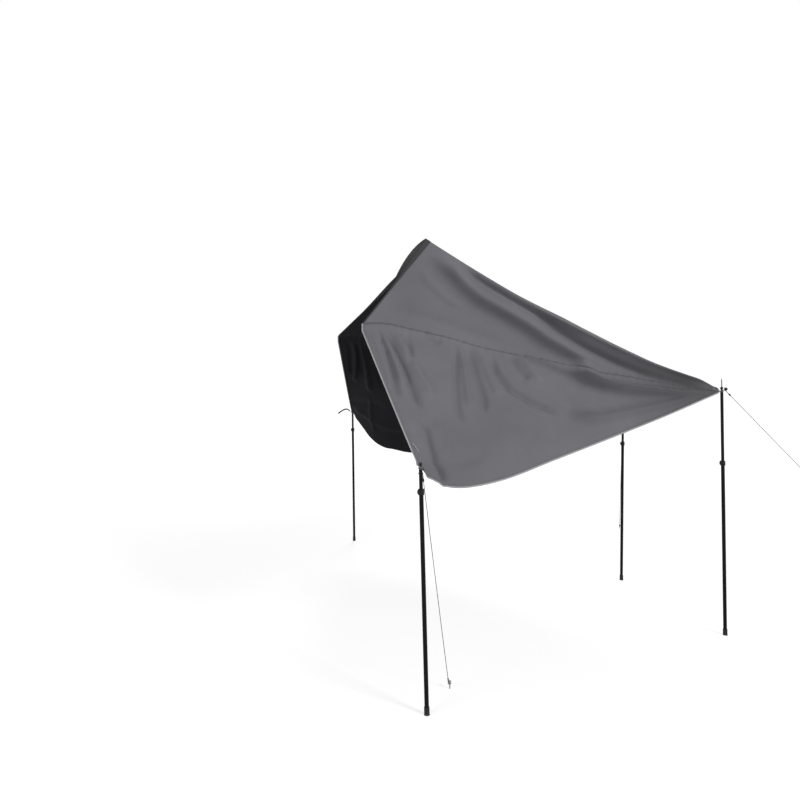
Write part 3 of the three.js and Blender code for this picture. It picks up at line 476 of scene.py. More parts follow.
columns, side_rows, slope_rows, top_rows = 200, 50, 50, 26
near_seam_row, far_seam_row = side_rows, side_rows + 2 * slope_rows + top_rows
along_shares = np.linspace(0, 1, columns + 1)
roof_shares = np.concatenate([np.linspace(0, slope_share, slope_rows + 1)[:-1],
                              np.linspace(slope_share, 1 - slope_share, top_rows + 1)[:-1],
                              np.linspace(1 - slope_share, 1, slope_rows + 1)])
cloth = np.concatenate([
    side_surface("near", *np.meshgrid(along_shares, np.linspace(1, 0, side_rows + 1)[:-1])),
    roof_surface(*np.meshgrid(along_shares, roof_shares[:-1])[::-1]),
    side_surface("far", *np.meshgrid(along_shares, np.linspace(0, 1, side_rows + 1)))])


def fold(panel, route, widths, depth, under=1.0, crisp=2.0):
    """Height of a ridge or a hollow along a route; under is its lower side's share of the width."""
    stops = np.array([place_of(panel, *spot) for spot in route])
    nearest, share = np.full(cloth.shape[:-1], 9.0), np.zeros(cloth.shape[:-1])
    below = np.zeros(cloth.shape[:-1], bool)
    for k, (a, b) in enumerate(zip(stops, stops[1:])):
        run = b - a
        t = np.clip(((cloth - a) @ run) / (run @ run), 0, 1)
        offset = cloth - a - t[..., None] * run
        off = np.linalg.norm(offset, axis=-1)
        closer = off < nearest
        nearest[closer], share[closer] = off[closer], ((k + t) / (len(stops) - 1))[closer]
        below[closer] = offset[closer][:, 2] < 0
    width = widths[0] * (1 - share) + widths[1] * share
    height = depth * width / widths[0] * ease(share * 5) * ease((1 - share) * 6)
    return height * np.exp(-(nearest / (width * np.where(below, under, 1))) ** crisp)


# Each fold is a route of places, its widths at both ends, its height and its form.
roof_folds = [
    ([(.012, .232), (.065, .222), (.118, .212), (.17, .196), (.225, .180), (.31, .172), (.38, .160),
      (.46, .125), (.508, .106), (.56, .080), (.62, .035), (.66, .01)], (.078, .066), .070, .78),
    ([(.10, .236), (.14, .234), (.20, .228), (.30, .224), (.388, .220), (.465, .193), (.575, .165),
      (.69, .138), (.805, .105), (.985, .07)], (.074, .040), -.076, .8, 1.3),
    ([(.02, .18), (.08, .150), (.14, .13), (.20, .115)], (.040, .03), .008, .7),
    ([(.04, .05), (.2, .045), (.4, .03)], (.05, .03), -.007),
    ([(.50, .045), (.62, .050), (.76, .045), (.88, .04), (.97, .03)], (.030, .012), -.012),
]
side_folds = [
    ([(.56, .03), (.62, .12), (.67, .22), (.713, .27), (.775, .29), (.828, .33), (.885, .42),
      (.985, .40)], (.064, .024), .060),
    ([(.56, .58), (.62, .66), (.672, .70), (.743, .70), (.812, .70), (.885, .70), (.97, .6)],
     (.060, .022), .046),
    ([(.43, .25), (.50, .36), (.58, .53)], (.030, .03), .012),
    ([(.018, .03), (.022, .16), (.022, .34), (.018, .50)], (.014, .024), .014),
    ([(.035, .03), (.045, .2), (.043, .42), (.04, .56)], (.014, .024), -.016),
    ([(.046, .03), (.058, .19), (.064, .32), (.07, .46)], (.014, .026), .014),
    ([(.058, .02), (.075, .19), (.090, .31), (.105, .445), (.12, .60)], (.017, .030), -.024),
    ([(.078, .02), (.108, .2), (.14, .36), (.17, .5)], (.022, .034), .018),
    ([(.117, .02), (.120, .10), (.122, .16), (.112, .29)], (.014, .022), -.015),
    ([(.16, .005), (.180, .030), (.198, .055), (.215, .03)], (.016, .018), -.012),
    ([(.249, .01), (.247, .21), (.243, .36), (.243, .52), (.256, .62)], (.016, .022), -.017),
    ([(.262, .01), (.270, .20), (.275, .38), (.282, .52)], (.014, .022), .012),
    ([(.279, .005), (.295, .12), (.308, .27), (.325, .43), (.322, .54)], (.015, .024), -.018),
    ([(.305, .005), (.325, .12), (.345, .27), (.370, .40)], (.018, .026), .014),
    ([(.344, .005), (.366, .20), (.400, .33), (.460, .44), (.550, .58)], (.017, .026), -.024),
    ([(.400, .005), (.427, .13), (.458, .23)], (.017, .022), -.019),
    ([(.425, .005), (.453, .10), (.492, .25)], (.016, .022), .014),
    ([(.01, .93), (.05, .85), (.12, .74), (.2, .66)], (.03, .04), .010),
    ([(.02, .96), (.09, .92), (.2, .86), (.33, .83)], (.025, .04), -.011),
    ([(.11, .62), (.130, .76), (.142, .85), (.160, .93), (.172, 1.0)], (.018, .024), -.012),
]
top_folds = [([(.0, .36), (.3, .42), (.7, .40), (.97, .30)], (.08, .03), -.012),
             ([(.0, .60), (.3, .56), (.7, .60), (.97, .70)], (.08, .03), -.012),
             ([(.05, .5), (.4, .5), (.95, .48)], (.10, .06), .008),
             ([(.93, .34), (.97, .5), (.93, .66)], (.03, .03), -.006)]
lift = np.zeros(cloth.shape[:-1])
for route, widths, depth, *form in roof_folds:
    mirrored = [(min(v * 1.08 + 0.01, 0.97), 1 - a * 0.94) for v, a in route]
    lift += fold("roof", route, widths, depth, *form)
    lift += fold("roof", mirrored, widths, depth * 0.9, *form)
for route, *form in side_folds:
    mirrored = [(min(v * 1.1 + 0.015, 0.97), d * 0.92) for v, d in route]
    lift += fold("near", route, *form)
    lift += fold("far", mirrored, *form)
for route, *form in top_folds:
    lift += fold("roof", route, *form)

around, length_along = run_of(cloth), run_of(cloth, axis=1)
seam_pull, ripple_high, roll_high = 0.0021, 0.0022, 0.020
for row in (near_seam_row, far_seam_row):
    beat = length_along[row]
    pull = (np.sin(beat * 118) + 0.6 * np.sin(beat * 71 + 1.3) + 0.5 * np.sin(beat * 173 + 0.4))
    away = np.abs(around - around[row])
    lift += seam_pull * pull * np.exp(-away / 0.035) * ease(arch(along_shares) * 3)
x, y, z = np.moveaxis(cloth, -1, 0)
ripple = (np.sin(9.1 * x + 6.3 * z + 1.1) * np.sin(7.7 * y - 5.2 * z)
          + 0.6 * np.sin(17.3 * x - 13.1 * y + 4.0 * z) * np.sin(12.7 * z + 6.1 * y + 0.7)
          + 0.4 * np.sin(31.0 * x + 23.0 * y) * np.sin(27.0 * z - 19.0 * x + 2.0))
from_border = np.minimum(np.minimum(along_shares, 1 - along_shares) * 8,
                         np.minimum(around, around[-1] - around) / 0.12)
lift += ripple_high * ripple * ease(from_border)
lift *= ease(np.minimum(along_shares * 22, (1 - along_shares) * 30))
for row in (near_seam_row + slope_rows, far_seam_row - slope_rows):
    kept = 0.3 * ease((along_shares - 0.3) * 4)
    lift *= kept + (1 - kept) * ease(np.abs(around - around[row]) / (0.085 - 0.055 * along_shares))
    roll = np.exp(-((around - around[row]) / (0.026 - 0.012 * along_shares)) ** 2)
    lift += roll_high * roll * ease((along_shares - 0.28) * 5) * ease((1 - along_shares) * 14)
for corner in corners.values():
    reach = np.linalg.norm(cloth - np.array(corner), axis=-1)
    lift *= ease((reach - 0.035) / 0.06)

# Painted shade: along these bands the cloth's colour is darkened where the folds fall into shade.
# Each is a panel, a route, its widths, how much darker it gets and its form.
painted_fold_shade = [
    ("roof", [(.38, .232), (.465, .208), (.575, .185), (.69, .166), (.805, .155), (.885, .14),
              (.97, .10)], (.030, .050), .42, .9),
    ("roof", [(.22, .166), (.31, .152), (.41, .122), (.505, .085), (.578, .050), (.62, .02)],
     (.045, .045), .10),
    ("near", [(.54, .05), (.60, .14), (.63, .17), (.67, .215), (.713, .25), (.775, .28),
              (.828, .30), (.885, .32), (.985, .34)], (.080, .055), .56, 1, 3),
    ("near", [(.41, .005), (.46, .02), (.50, .045), (.545, .088), (.60, .135), (.66, .185),
              (.74, .24)], (.024, .050), .20),
    ("near", [(.344, .005), (.366, .20), (.400, .33), (.460, .44), (.550, .58)], (.022, .026), .08),
    ("near", [(.400, .005), (.427, .13), (.462, .235)], (.018, .022), .11),
    ("near", [(.16, .005), (.180, .030), (.198, .055), (.215, .03)], (.018, .020), .10),
    ("near", [(.56, .60), (.62, .65), (.672, .69), (.743, .68), (.812, .67), (.885, .64),
              (.97, .6)], (.045, .020), .24),
    ("near", [(.118, .66), (.132, .76), (.142, .85), (.158, .93), (.166, .99)], (.020, .028), .24),
    ("near", [(.06, .88), (.20, .80), (.34, .72), (.48, .66), (.62, .60), (.80, .60)],
     (.42, .30), .12),
]
fold_shade = np.zeros(cloth.shape[:-1])
for panel, route, widths, strength, *form in painted_fold_shade:
    fold_shade += fold(panel, route, widths, strength, *form)
    other, mirrored = "far", route
    if panel == "roof":
        other, mirrored = "roof", [(v, 1 - a) for v, a in route]
    fold_shade += fold(other, mirrored, widths, strength * 0.6, *form)
fold_shade = np.clip(fold_shade, 0, 0.6)
cloth = cloth + facing(cloth) * lift[..., None]
normals = facing(cloth)


def laid_grid(points, flat, dims=None):
    """A bmesh grid moved to the given rows of points, with flat cloth metres as its UV."""
    rows, cols = points.shape[:2]
    bm = bmesh.new()
    uv = bm.loops.layers.uv.new("flat")
    # each point may carry its painted fold shade, which darkens the cloth's colour
    layer = None if dims is None else bm.verts.layers.float.new("painted_fold_shade")
    bmesh.ops.create_grid(bm, x_segments=cols - 1, y_segments=rows - 1, size=0.5)
    bm.verts.ensure_lookup_table()
    spots = {}
    for vert in bm.verts:
        i, j = round((vert.co.y + 0.5) * (rows - 1)), round((vert.co.x + 0.5) * (cols - 1))
        vert.co = points[i, j]
        spots[vert.index] = flat[i, j]
        if layer is not None:
            vert[layer] = dims[i, j]
    for face in bm.faces:
        for loop in face.loops:
            loop[uv].uv = spots[loop.vert.index]
    return bm


def cloth_look(name, tone, deep, weave=1.0, shade_corners=(), shade_folds=False, gloss=0.5, sheen=0.10):
    """Woven cloth with painted shade: darker near each given corner, given as (x, y, z), and along
    the shaded folds.
    """
    look, nodes, place = start_look(name, 0.78, gloss=gloss, sheen_weight=sheen,
                                    sheen_roughness=0.45)
    flat = nodes("TexCoord", out="UV")
    warp, weft = [nodes("TexWave", {"Vector": flat, "Scale": 420.0 / weave, "Distortion": 0.6,
                                    "Detail": 1.0, "Detail Scale": 2.0}, bands_direction=turn)
                  for turn in ("X", "Y")]
    cloud = nodes.math("MULTIPLY", nodes.noise(place, 2.6, 5.0, 0.55), 0.75)
    slub = nodes.noise(nodes("Mapping", {"Vector": flat, "Scale": (14.0, 700.0, 1.0)}), 1.0, 2.0)
    colour = nodes.shade(nodes.math("MULTIPLY_ADD", slub, 0.25, cloud), deep, tone, 0.32, 0.62)
    # painted shade: the colour is scaled down near each given corner
    shares = [nodes("VectorMath", {0: place, 1: corner}, "Value", operation="DISTANCE")
              for corner in shade_corners]
    shares = [nodes.spread(away, 0.10, 1.0, 0.38, 1.0, interpolation_type="SMOOTHSTEP")
              for away in shares]
    # painted shade: the colour is scaled down along the shaded folds stored on the mesh
    if shade_folds:
        shares.append(nodes.math("SUBTRACT", 1.0, nodes("Attribute", attribute_name="painted_fold_shade")))
    for share in shares:
        colour = nodes("VectorMath", {0: colour, "Scale": share}, operation="SCALE")
    fine = nodes.bump(nodes.math("MULTIPLY", warp, weft), 0.25, 0.0003)
    nodes.plug(Base_Color=colour,
               Normal=nodes.bump(nodes.noise(place, 11.0, 8.0, 0.62), 0.35, 0.006, Normal=fine))
    return look


# painted shade: the cloth darkens towards the two outer corners
outer_corners = [tuple(corners[name]) for name in ("near_outer", "far_outer")]
grey_cloth = cloth_look("canopy_grey", (113, 112, 118), (104, 103, 109), 1.0, outer_corners, True)
# the inside's near-black tone is painted shade for the shadow under the roof
shade_painted_inside = cloth_look("canopy_inside_painted_shade", (31, 31, 37), (25, 25, 30), gloss=0.22, sheen=0.0)
sheet_mesh = laid_grid(cloth, np.stack([length_along, around], -1), fold_shade)
bmesh.ops.recalc_face_normals(sheet_mesh, faces=sheet_mesh.faces)
if sum(f.normal.z * f.calc_area() for f in sheet_mesh.faces) < 0:
    bmesh.ops.reverse_faces(sheet_mesh, faces=sheet_mesh.faces)
canopy = keep("canopy_sheet", sheet_mesh, "canopy", [grey_cloth, shade_painted_inside],
              ["roof_panel", "near_side_panel", "far_side_panel"], sharp=180)
thickness = canopy.modifiers.new("cloth_thickness", "SOLIDIFY")
thickness.thickness, thickness.offset, thickness.material_offset = 0.0011, -1.0, 1

# Hems. Every free edge is turned over twice and stitched, which makes a flat roll
# about 23 mm wide. A pale cloth on each roll's outer edge is a painted highlight for the light
# that the edges catch.


def tangents(points):
    """The unit direction of a line at each of its points."""
    return unit(np.gradient(points, axis=0))


def border(edge, inside, trim=(0, 0)):
    """Points, ways out of the cloth and outward normals of a border, short of its corners."""
    stops = slice(trim[0], len(cloth[edge]) - trim[1])
    points = cloth[edge][stops]
    along, out = tangents(points), points - cloth[inside][stops]
    out = unit(out - (out * along).sum(1, keepdims=True) * along)
    for k in range(1, len(out)):
        if out[k] @ out[k - 1] < 0:
            out[k] = -out[k]
    up = np.cross(along, out)
    turn = np.sign((up * normals[edge][stops]).sum(1, keepdims=True))
    return points, out, up * np.where(turn == 0, 1, turn)


def swept(points, outs, ups, outline, scale=1.0):
    """Carries a closed outline of (out, up) pairs along a line of points."""
    ring = np.array(outline + outline[:1])
    wide = outs * np.reshape(scale, (-1, 1))
    body = points[:, None] + wide[:, None] * ring[:, :1] + ups[:, None] * ring[:, 1:]
    flat = np.stack(np.meshgrid(run_of(ring), run_of(points))[::-1], -1)
    return closed(laid_grid(body, flat))


def paint_inside_and_edge(piece, points, outs, ups, bound=math.inf):
    """Gives faces that look into the canopy the inside's painted shade, and faces past a bound the
    third cloth.
    """
    for face in piece.data.polygons:
        near = np.linalg.norm(points - np.array(face.center), axis=1).argmin()
        beyond = (np.array(face.center) - points[near]) @ outs[near]
        inward = np.dot(face.normal, ups[near]) < -0.5
        face.material_index = 2 if beyond > bound else int(inward)


hem_cloth = cloth_look("hem_grey", (112, 111, 116), (103, 102, 107), 1.0, outer_corners)
# painted highlight: a pale cloth along the outer edge of each hem roll
edge_highlight_cloth = cloth_look("hem_edge_painted_highlight", (176, 175, 179), (150, 149, 153), 0.7)
hem_roll = [(-.0120, .0008), (-.0110, .0014), (.0030, .0015), (.0085, .0017), (.0108, .0012),
            (.0113, 0.0), (.0108, -.0012), (.0085, -.0017), (.0030, -.0022), (-.0110, -.0022),
            (-.0120, -.0016)]
every, near_rows = slice(None), slice(0, near_seam_row + 1)
roof_rows, far_rows = slice(near_seam_row, far_seam_row + 1), slice(far_seam_row, None)
hem_lines = {
    "near_lower_hem": border((0, every), (1, every), (1, 1)),
    "far_lower_hem": border((-1, every), (-2, every), (1, 1)),
    "near_front_hem": border((near_rows, 0), (near_rows, 1), (1, 0)),
    "far_front_hem": border((far_rows, 0), (far_rows, 1), (0, 1)),
    "outer_hem": border((roof_rows, -1), (roof_rows, -2), (2, 2)),
}
for name, line in hem_lines.items():
    roll = keep(f"{name}_roll", swept(*line, hem_roll), "canopy",
                [hem_cloth, shade_painted_inside, edge_highlight_cloth], [name])
    paint_inside_and_edge(roll, *line, bound=0.0035)

# Seams between roof and sides. The two cloths are felled: folded into each other and
# stitched down flat in two rows, which draws the cloth into small puckers.

seam_cloth = cloth_look("seam_grey", (96, 95, 100), (86, 85, 90), 1.0, outer_corners)
felled = [(-.0062, .0002), (-.0056, .0011), (.0056, .0014), (.0062, .0002), (.0062, -.0013),
          (.0056, -.0024), (-.0056, -.0024), (-.0062, -.0013)]
seam_lines = {}
for name, row in (("near_roof_seam", near_seam_row), ("far_roof_seam", far_seam_row)):
    points, along = cloth[row, 1:-2], tangents(cloth[row, 1:-2])
    out = unit(np.cross(along, normals[row, 1:-2]))
    seam_lines[name] = points, out, np.cross(out, along)
    seam = keep(name, swept(*seam_lines[name], felled), "canopy",
                [seam_cloth, shade_painted_inside])
    paint_inside_and_edge(seam, *seam_lines[name])

# Zip edge. A flap of dark tape is sewn along the inner edge of the roof, widest over
# the top, with half of a coil zip along its border, by which the canopy is zipped on.

flap_cloth = cloth_look("flap_black", (56, 56, 59), (46, 46, 49), 1.6)
zip_line = border((roof_rows, 0), (roof_rows, 1))
upright = np.minimum(roof_shares, 1 - roof_shares) / slope_share
flap_width = 0.007 + 0.025 * ease((upright - 0.35) / 0.65)
flap_outline = [(-.30, .0016), (0.0, .0018), (.90, .0013), (1.0, .0006), (1.0, -.0006),
                (.90, -.0013), (0.0, -.0022), (-.30, -.0022)]
keep("zip_flap", swept(*zip_line, flap_outline, flap_width), "canopy", flap_cloth,
     ["tent_edge_strip"])


def evenly(stops, run, values):
    """The values at the given stops of a run, column by column."""
    return np.stack([np.interp(stops, run, column) for column in values.T], 1)


def spaced(points, *vectors, pitch=0.006):
    """Even stops along a line, with the vectors carried to them."""
    run = run_of(points)
    stops = np.arange(pitch / 2, run[-1], pitch)
    return [evenly(stops, run, each) for each in (points, *vectors)]


def frame_at(point, along, up):
    """A matrix whose X runs along and whose Z points up."""
    x_axis = Vector(along).normalized()
    y_axis = Vector(up).cross(x_axis).normalized()
    turn = Matrix((x_axis, y_axis, x_axis.cross(y_axis))).transposed().to_4x4()
    return Matrix.Translation(Vector(point)) @ turn


teeth, tooth = bmesh.new(), Matrix.Diagonal((0.0058, 0.0017, 0.0032, 1))
points, out, up = zip_line
coil_line = points + out * (flap_width - 0.0035)[:, None]
for stop, way, high in zip(*spaced(coil_line, out, up, pitch=0.0032)):
    bmesh.ops.create_cube(teeth, size=1.0, matrix=frame_at(stop, way, high) @ tooth)
zip_coil = nylon_look("zip_coil_black", (24, 24, 26), 0.42)
keep("zip_coil", teeth, "canopy", zip_coil, sharp=20)

# Stitching. Bonded polyester thread, a little darker than the cloth, in rows along
# both seams, every hem and the zip flap. A stitch is 4 mm and stands half proud.


def thread_look():
    look, nodes, place = start_look("sewing_thread", 0.6)
    twist = nodes.noise(place, 1400.0, 2.0)
    nodes.plug(Base_Color=nodes.shade(twist, (66, 65, 69), (84, 83, 88)),
               Normal=nodes.bump(twist, 0.3, 0.0002))
    return look


def sew(rows, spots, size=(0.0046, 0.0011, 0.0010, 1), handful=40):
    """Adds a stitch at every spot, a frame whose X runs along the row."""
    for first in range(0, len(spots), handful):
        few = bmesh.new()
        for spot in spots[first:first + handful]:
            bmesh.ops.create_icosphere(few, subdivisions=1, radius=0.5,
                                       matrix=spot @ Matrix.Diagonal(size))
        add_mesh(rows, few)


def stitch(rows, line, aside, high):
    """Adds a row of stitches beside a line of points, ways out and normals."""
    points, out, up = line
    stops, outs, ups = spaced(points + out * aside, out, up)
    sew(rows, list(map(frame_at, stops + ups * high, np.cross(outs, ups), ups)))


thread = thread_look()
rows = bmesh.new()
for line in seam_lines.values():
    stitch(rows, line, -0.0038, 0.0013)
    stitch(rows, line, 0.0038, 0.0013)
for line in hem_lines.values():
    stitch(rows, line, -0.0088, 0.0016)
stitch(rows, zip_line, -0.0012, 0.0019)
keep("canopy_stitching", rows, "canopy", thread, sharp=180)

# Corner patches. Two layers of heavier cloth are sewn over each corner, drop shaped,
# to spread the pull of the pole. A pressed steel eyelet takes the spike.

arms = {"near_tent": (sills["near"], corners["near_outer"]),
        "near_outer": (corners["near_tent"], corners["far_outer"]),
        "far_outer": (corners["near_outer"], corners["far_tent"]),
        "far_tent": (corners["far_outer"], sills["far"])}


def patch_turn(name):
    """The bearing of a patch, midway between its corner's two edges."""
    first, last = [math.atan2(*(end - corners[name]).yx) for end in arms[name]]
    spread = math.atan2(math.sin(last - first), math.cos(last - first))
    return math.degrees(first + spread / 2)


def arc(radius, start, sweep, steps, middle=(0, 0)):
    """Points on part of a circle, over a sweep in degrees."""
    turns = [math.radians(start + sweep * k / steps) for k in range(steps + 1)]
    return [(middle[0] + math.cos(t) * radius, middle[1] + math.sin(t) * radius) for t in turns]


def drop_outline(shrink=0.0):
    """A drop round the pole: a small tip, two straight sides and a wide tail."""
    tip, tail, long = 0.014 - shrink, 0.023 - shrink, 0.050
    tilt = math.degrees(math.asin((tail - tip) / long))
    left = [Vector((*p, 0)) for p in arc(tip, 90 + tilt, 180 - 2 * tilt, 14)]
    right = [Vector((*p, 0)) for p in arc(tail, -90 - tilt, 180 + 2 * tilt, 22, (long, 0))]
    straight = [[a.lerp(b, k / 10) for k in range(1, 10)]
                for a, b in ((left[-1], right[0]), (right[-1], left[0]))]
    return left + straight[0] + right + straight[1]


half_patch = 0.0019
cells = np.arange(cloth[..., 0].size).reshape(cloth.shape[:2])
quads = np.stack([cells[:-1, :-1], cells[:-1, 1:], cells[1:, 1:], cells[1:, :-1]], -1)
draped = BVHTree.FromPolygons(cloth.reshape(-1, 3).tolist(), quads.reshape(-1, 4).tolist())


def on_cloth(place, point):
    """Moves a point of the flat corner patch to the same height over the draped cloth."""
    local = place.inverted() @ point
    spot, normal, _, _ = draped.find_nearest(place @ Vector((*local.xy, 0)))
    laid = spot + normal * math.copysign(1, normal.z) * (local.z - 0.00055)
    return point.lerp(laid, float(ease((local.xy.length - 0.0145) / 0.010)))


patch_cloth = cloth_look("patch_grey", (92, 91, 96), (80, 79, 84), 2.2)
patch_rows = bmesh.new()
for name in poles:
    place = stand_on_pole(name, patch_turn(name), reach_up[name])
    patch = bmesh.new()
    outline = [point - Vector((0, 0, half_patch)) for point in drop_outline()]
    face = patch.faces.new([patch.verts.new(point) for point in outline])
    wall = bmesh.ops.extrude_face_region(patch, geom=[face])
    raised = [v for v in wall["geom"] if isinstance(v, bmesh.types.BMVert)]
    bmesh.ops.translate(patch, verts=raised, vec=(0, 0, 2 * half_patch))
    rims = [e for e in patch.edges if abs(e.verts[0].co.z - e.verts[1].co.z) < 1e-6]
    bmesh.ops.bevel(patch, geom=rims, offset=0.0008, segments=2, affect="EDGES", profile=0.5,
                    material=-1)
    for step in range(4):
        flats = sorted(patch.faces, key=lambda f: -f.calc_area())[:2]
        bmesh.ops.inset_individual(patch, faces=flats, thickness=0.0038)
    bmesh.ops.transform(patch, matrix=place, verts=patch.verts)
    for vert in patch.verts:
        vert.co = on_cloth(place, vert.co)
    bmesh.ops.triangulate(patch, faces=[f for f in patch.faces if len(f.verts) > 4])
    bmesh.ops.recalc_face_normals(patch, faces=patch.faces)
    keep(f"{name}_corner_patch", patch, "canopy", patch_cloth, [f"{name}_patch"])
    for shrunk in (0.0035, 0.0075):
        ring = np.array(drop_outline(shrunk))
        ring = np.concatenate([ring, ring[:1]])
        stops, ways = spaced(ring, np.gradient(ring, axis=0), pitch=0.005)
        for side_up in (half_patch, -half_patch):
            spots = []
            for point, way in zip(stops, ways):
                spot = Vector(point) + Vector((0, 0, side_up))
                here, there, above = [on_cloth(place, place @ (spot + step)) for step in (
                    Vector(), Vector(way).normalized() * 0.002, Vector((0, 0, 0.002)))]
                spots.append(frame_at(here, there - here, above - here))
            sew(patch_rows, spots, (0.0038, 0.0010, 0.0009, 1))
keep("patch_stitching", patch_rows, "canopy", thread, sharp=180)


def steel_look(name, tone, rough, bright=(176, 176, 178)):
    look, nodes, place = start_look(name, rough, 0.95)
    fine, dull = nodes.noise(place, 700.0, 4.0), nodes.noise(place, 90.0, 5.0)
    nodes.plug(Base_Color=nodes.shade(dull, tone, bright, 0.35, 0.75),
               Roughness=nodes.spread(fine, 0.0, 1.0, rough - 0.06, rough + 0.2),
               Normal=nodes.bump(fine, 0.15, 0.0002))
    return look


plated_steel = steel_look("plated_steel", (148, 149, 152), 0.34)
rim, flange, barrel, inner = 0.011, 0.0023, 0.0076, 0.0056
rolled = [(inner, 0.0019), (inner + 0.0006, 0.0031), (inner + 0.0016, 0.0035),
          (rim - 0.0012, 0.0032), (rim, 0.0024), (rim - 0.0004, flange), (barrel, flange)]
for name in poles:
    keep(f"{name}_eyelet_ring", turned(both_ends(rolled, 0, 0)), "canopy",
         plated_steel, [f"{name}_eyelet"], stand_on_pole(name, up=reach_up[name]))

sewn_on = [f"{name}_roll" for name in hem_lines]
sewn_on += ["near_roof_seam", "far_roof_seam", "zip_flap", "zip_coil", "canopy_stitching",
            "patch_stitching"]
sewn_on += [f"{name}_corner_patch" for name in poles]

# Spikes and knobs. A steel spike with a shouldered plug is pressed into each upper
# tube. A black ball knob pushed down the spike holds the cloth and the rope's loop.

ball_plastic = nylon_look("knob_black", (16, 16, 17), 0.36)
spike_steel = steel_look("spike_steel", (96, 97, 100), 0.38, (122, 122, 125))
under, bore, shank, ball = -0.0038, upper_bore - snug, 0.0035, 0.010
spike = [(0, under - 0.035), (bore - 0.0012, under - 0.035), (bore, under - 0.032),
         (bore, under - 0.003), (upper_radius - 0.0004, under - 0.003),
         (upper_radius, under - 0.0026), (upper_radius, under - 0.0004),
         (upper_radius - 0.0004, under), (shank + 0.0005, under), (shank, under + 0.0005),
         (shank, 0.068), (shank - 0.0003, 0.072)]
spike += [(0.0016 + (shank - 0.0019) * math.cos(t), 0.072 + 0.014 * math.sin(t))
          for t in (0.35, 0.8, 1.25)] + [(0.0012, 0.0858), (0, 0.086)]
knob = [(shank + snug, 0.0076), (0.0058, 0.0076), (0.0064, 0.0082), (0.0064, 0.0122)]
knob += arc(ball, -48, 112, 14, (0, 0.021)) + [(shank + 0.0008, 0.0302), (shank + snug, 0.0302)]
for name in poles:
    on_pole(name, "top_spike", spike, "pole", spike_steel, "spike", reach_up[name])
    on_pole(name, "ball_knob", knob, "pole", ball_plastic, "knob", reach_up[name])

# Lock pins. A steel pin is riveted through the ears of each collar, and the lever
# turns on it. Its flat heads stand a little proud.

pin = both_ends([(0, -0.0010), (0.0022, -0.0010), (0.0029, -0.0003), (0.0029, 0.0003),
                 (pin_radius, 0.0004)], collar_low + 0.0016, collar_high - 0.0016)
for name in poles:
    keep(f"{name}_lock_pin", turned(pin, 24), f"{name}_leg", plated_steel,
         place=stand_on_pole(name, 180, aside=-pin_out))

# Guy ropes. Braided polyester rope, 3.5 mm thick. A loop at its top goes round the
# spike or the tube, a plastic slider takes up the slack, and a second loop with a
# wrapped knot holds a steel peg in the ground.

rope, slider_long, knot_long, top_reach, peg_reach = 0.0035, 0.017, 0.010, 0.042, 0.034
guys = {"near_tent": (from_zip(0.419, -1.448, 0.031), True),  # the loop goes round the tube
        "near_outer": (from_zip(3.439, -2.315, 0.031), False),
        "far_outer": (from_zip(3.288, 1.653, 0.031), False)}


def through(points, pace):
    """Even points, pace apart, on a smooth curve through the given ones."""
    given = np.array([tuple(p) for p in points])
    ends = np.concatenate([[2 * given[0] - given[1]], given, [2 * given[-1] - given[-2]]])
    fine = []
    for a, b, c, d in zip(ends, ends[1:], ends[2:], ends[3:]):
        for t in np.arange(24) / 24:
            fine.append(0.5 * (2 * b + (c - a) * t + (2 * a - 5 * b + 4 * c - d) * t ** 2
                               + (3 * b - a - 3 * c + d) * t ** 3))
    fine = np.array(fine + [given[-1]])
    run = run_of(fine)
    return evenly(np.linspace(0, run[-1], max(int(run[-1] / pace), 2) + 1), run, fine)


def carried(points):
    """Two directions square to a line, carried along it without a twist."""
    along = tangents(points)
    out = [np.cross(along[0], (0.3, 0.2, 0.93))]
    for way in along:
        side = out[-1] - way * (out[-1] @ way)
        out.append(side / np.linalg.norm(side))
    return np.array(out[1:]), np.cross(along, out[1:])


def braided(points, thick, sides=16, pitch=0.011):
    """A closed tube along a line of points, with the strands of a braid standing proud."""
    out, up = carried(points)
    run, turn = np.meshgrid(run_of(points), np.linspace(0, math.tau, sides + 1), indexing="ij")
    twist = run * math.tau / pitch
    radius = thick / 2 * (0.95 + 0.05 * np.cos(4 * turn + twist) * np.cos(4 * turn - twist))
    body = (points[:, None] + out[:, None] * (np.cos(turn) * radius)[..., None]
            + up[:, None] * (np.sin(turn) * radius)[..., None])
    return closed(laid_grid(body, np.stack([run, turn * thick / 2], -1)), 3e-5)


def rope_look():
    look, nodes, _ = start_look("guy_rope_braid", 0.72, gloss=0.2, sheen_weight=0.05)
    flat = nodes("TexCoord", out="UV")
    tilted = [nodes("Mapping", {"Vector": flat, "Rotation": (0, 0, turn)}) for turn in (0.9, -0.9)]
    crossed = nodes.math("MULTIPLY", *[
        nodes("TexWave", {"Vector": way, "Scale": 260.0, "Distortion": 0.4}) for way in tilted])
    nodes.plug(Base_Color=nodes.shade(crossed, (26, 26, 28), (60, 60, 62), 0.05, 0.7),
               Normal=nodes.bump(crossed, 0.4, 0.0003))
    return look


rope_braid = rope_look()
slider_black = nylon_look("slider_black", (20, 20, 21), 0.45)
peg_steel = steel_look("peg_steel", (140, 141, 143), 0.42)


def loop_round(post, reach, fall, flat_run):
    """A loop about +Z: its strands' points, where they meet and the way on from there."""
    way = Vector((reach, 0, -fall)).normalized()
    meet = Vector((flat_run, 0, 0)) + way * math.hypot(reach, fall)
    points = [meet + Vector((0, rope / 2, 0)), Vector((flat_run, rope, -rope / 4))]
    points += [Vector((*p, 0)) for p in arc(post, 62, 236, 8)]
    points += [Vector((flat_run, -rope, -rope / 4)), meet - Vector((0, rope / 2, 0))]
    return points, meet, way


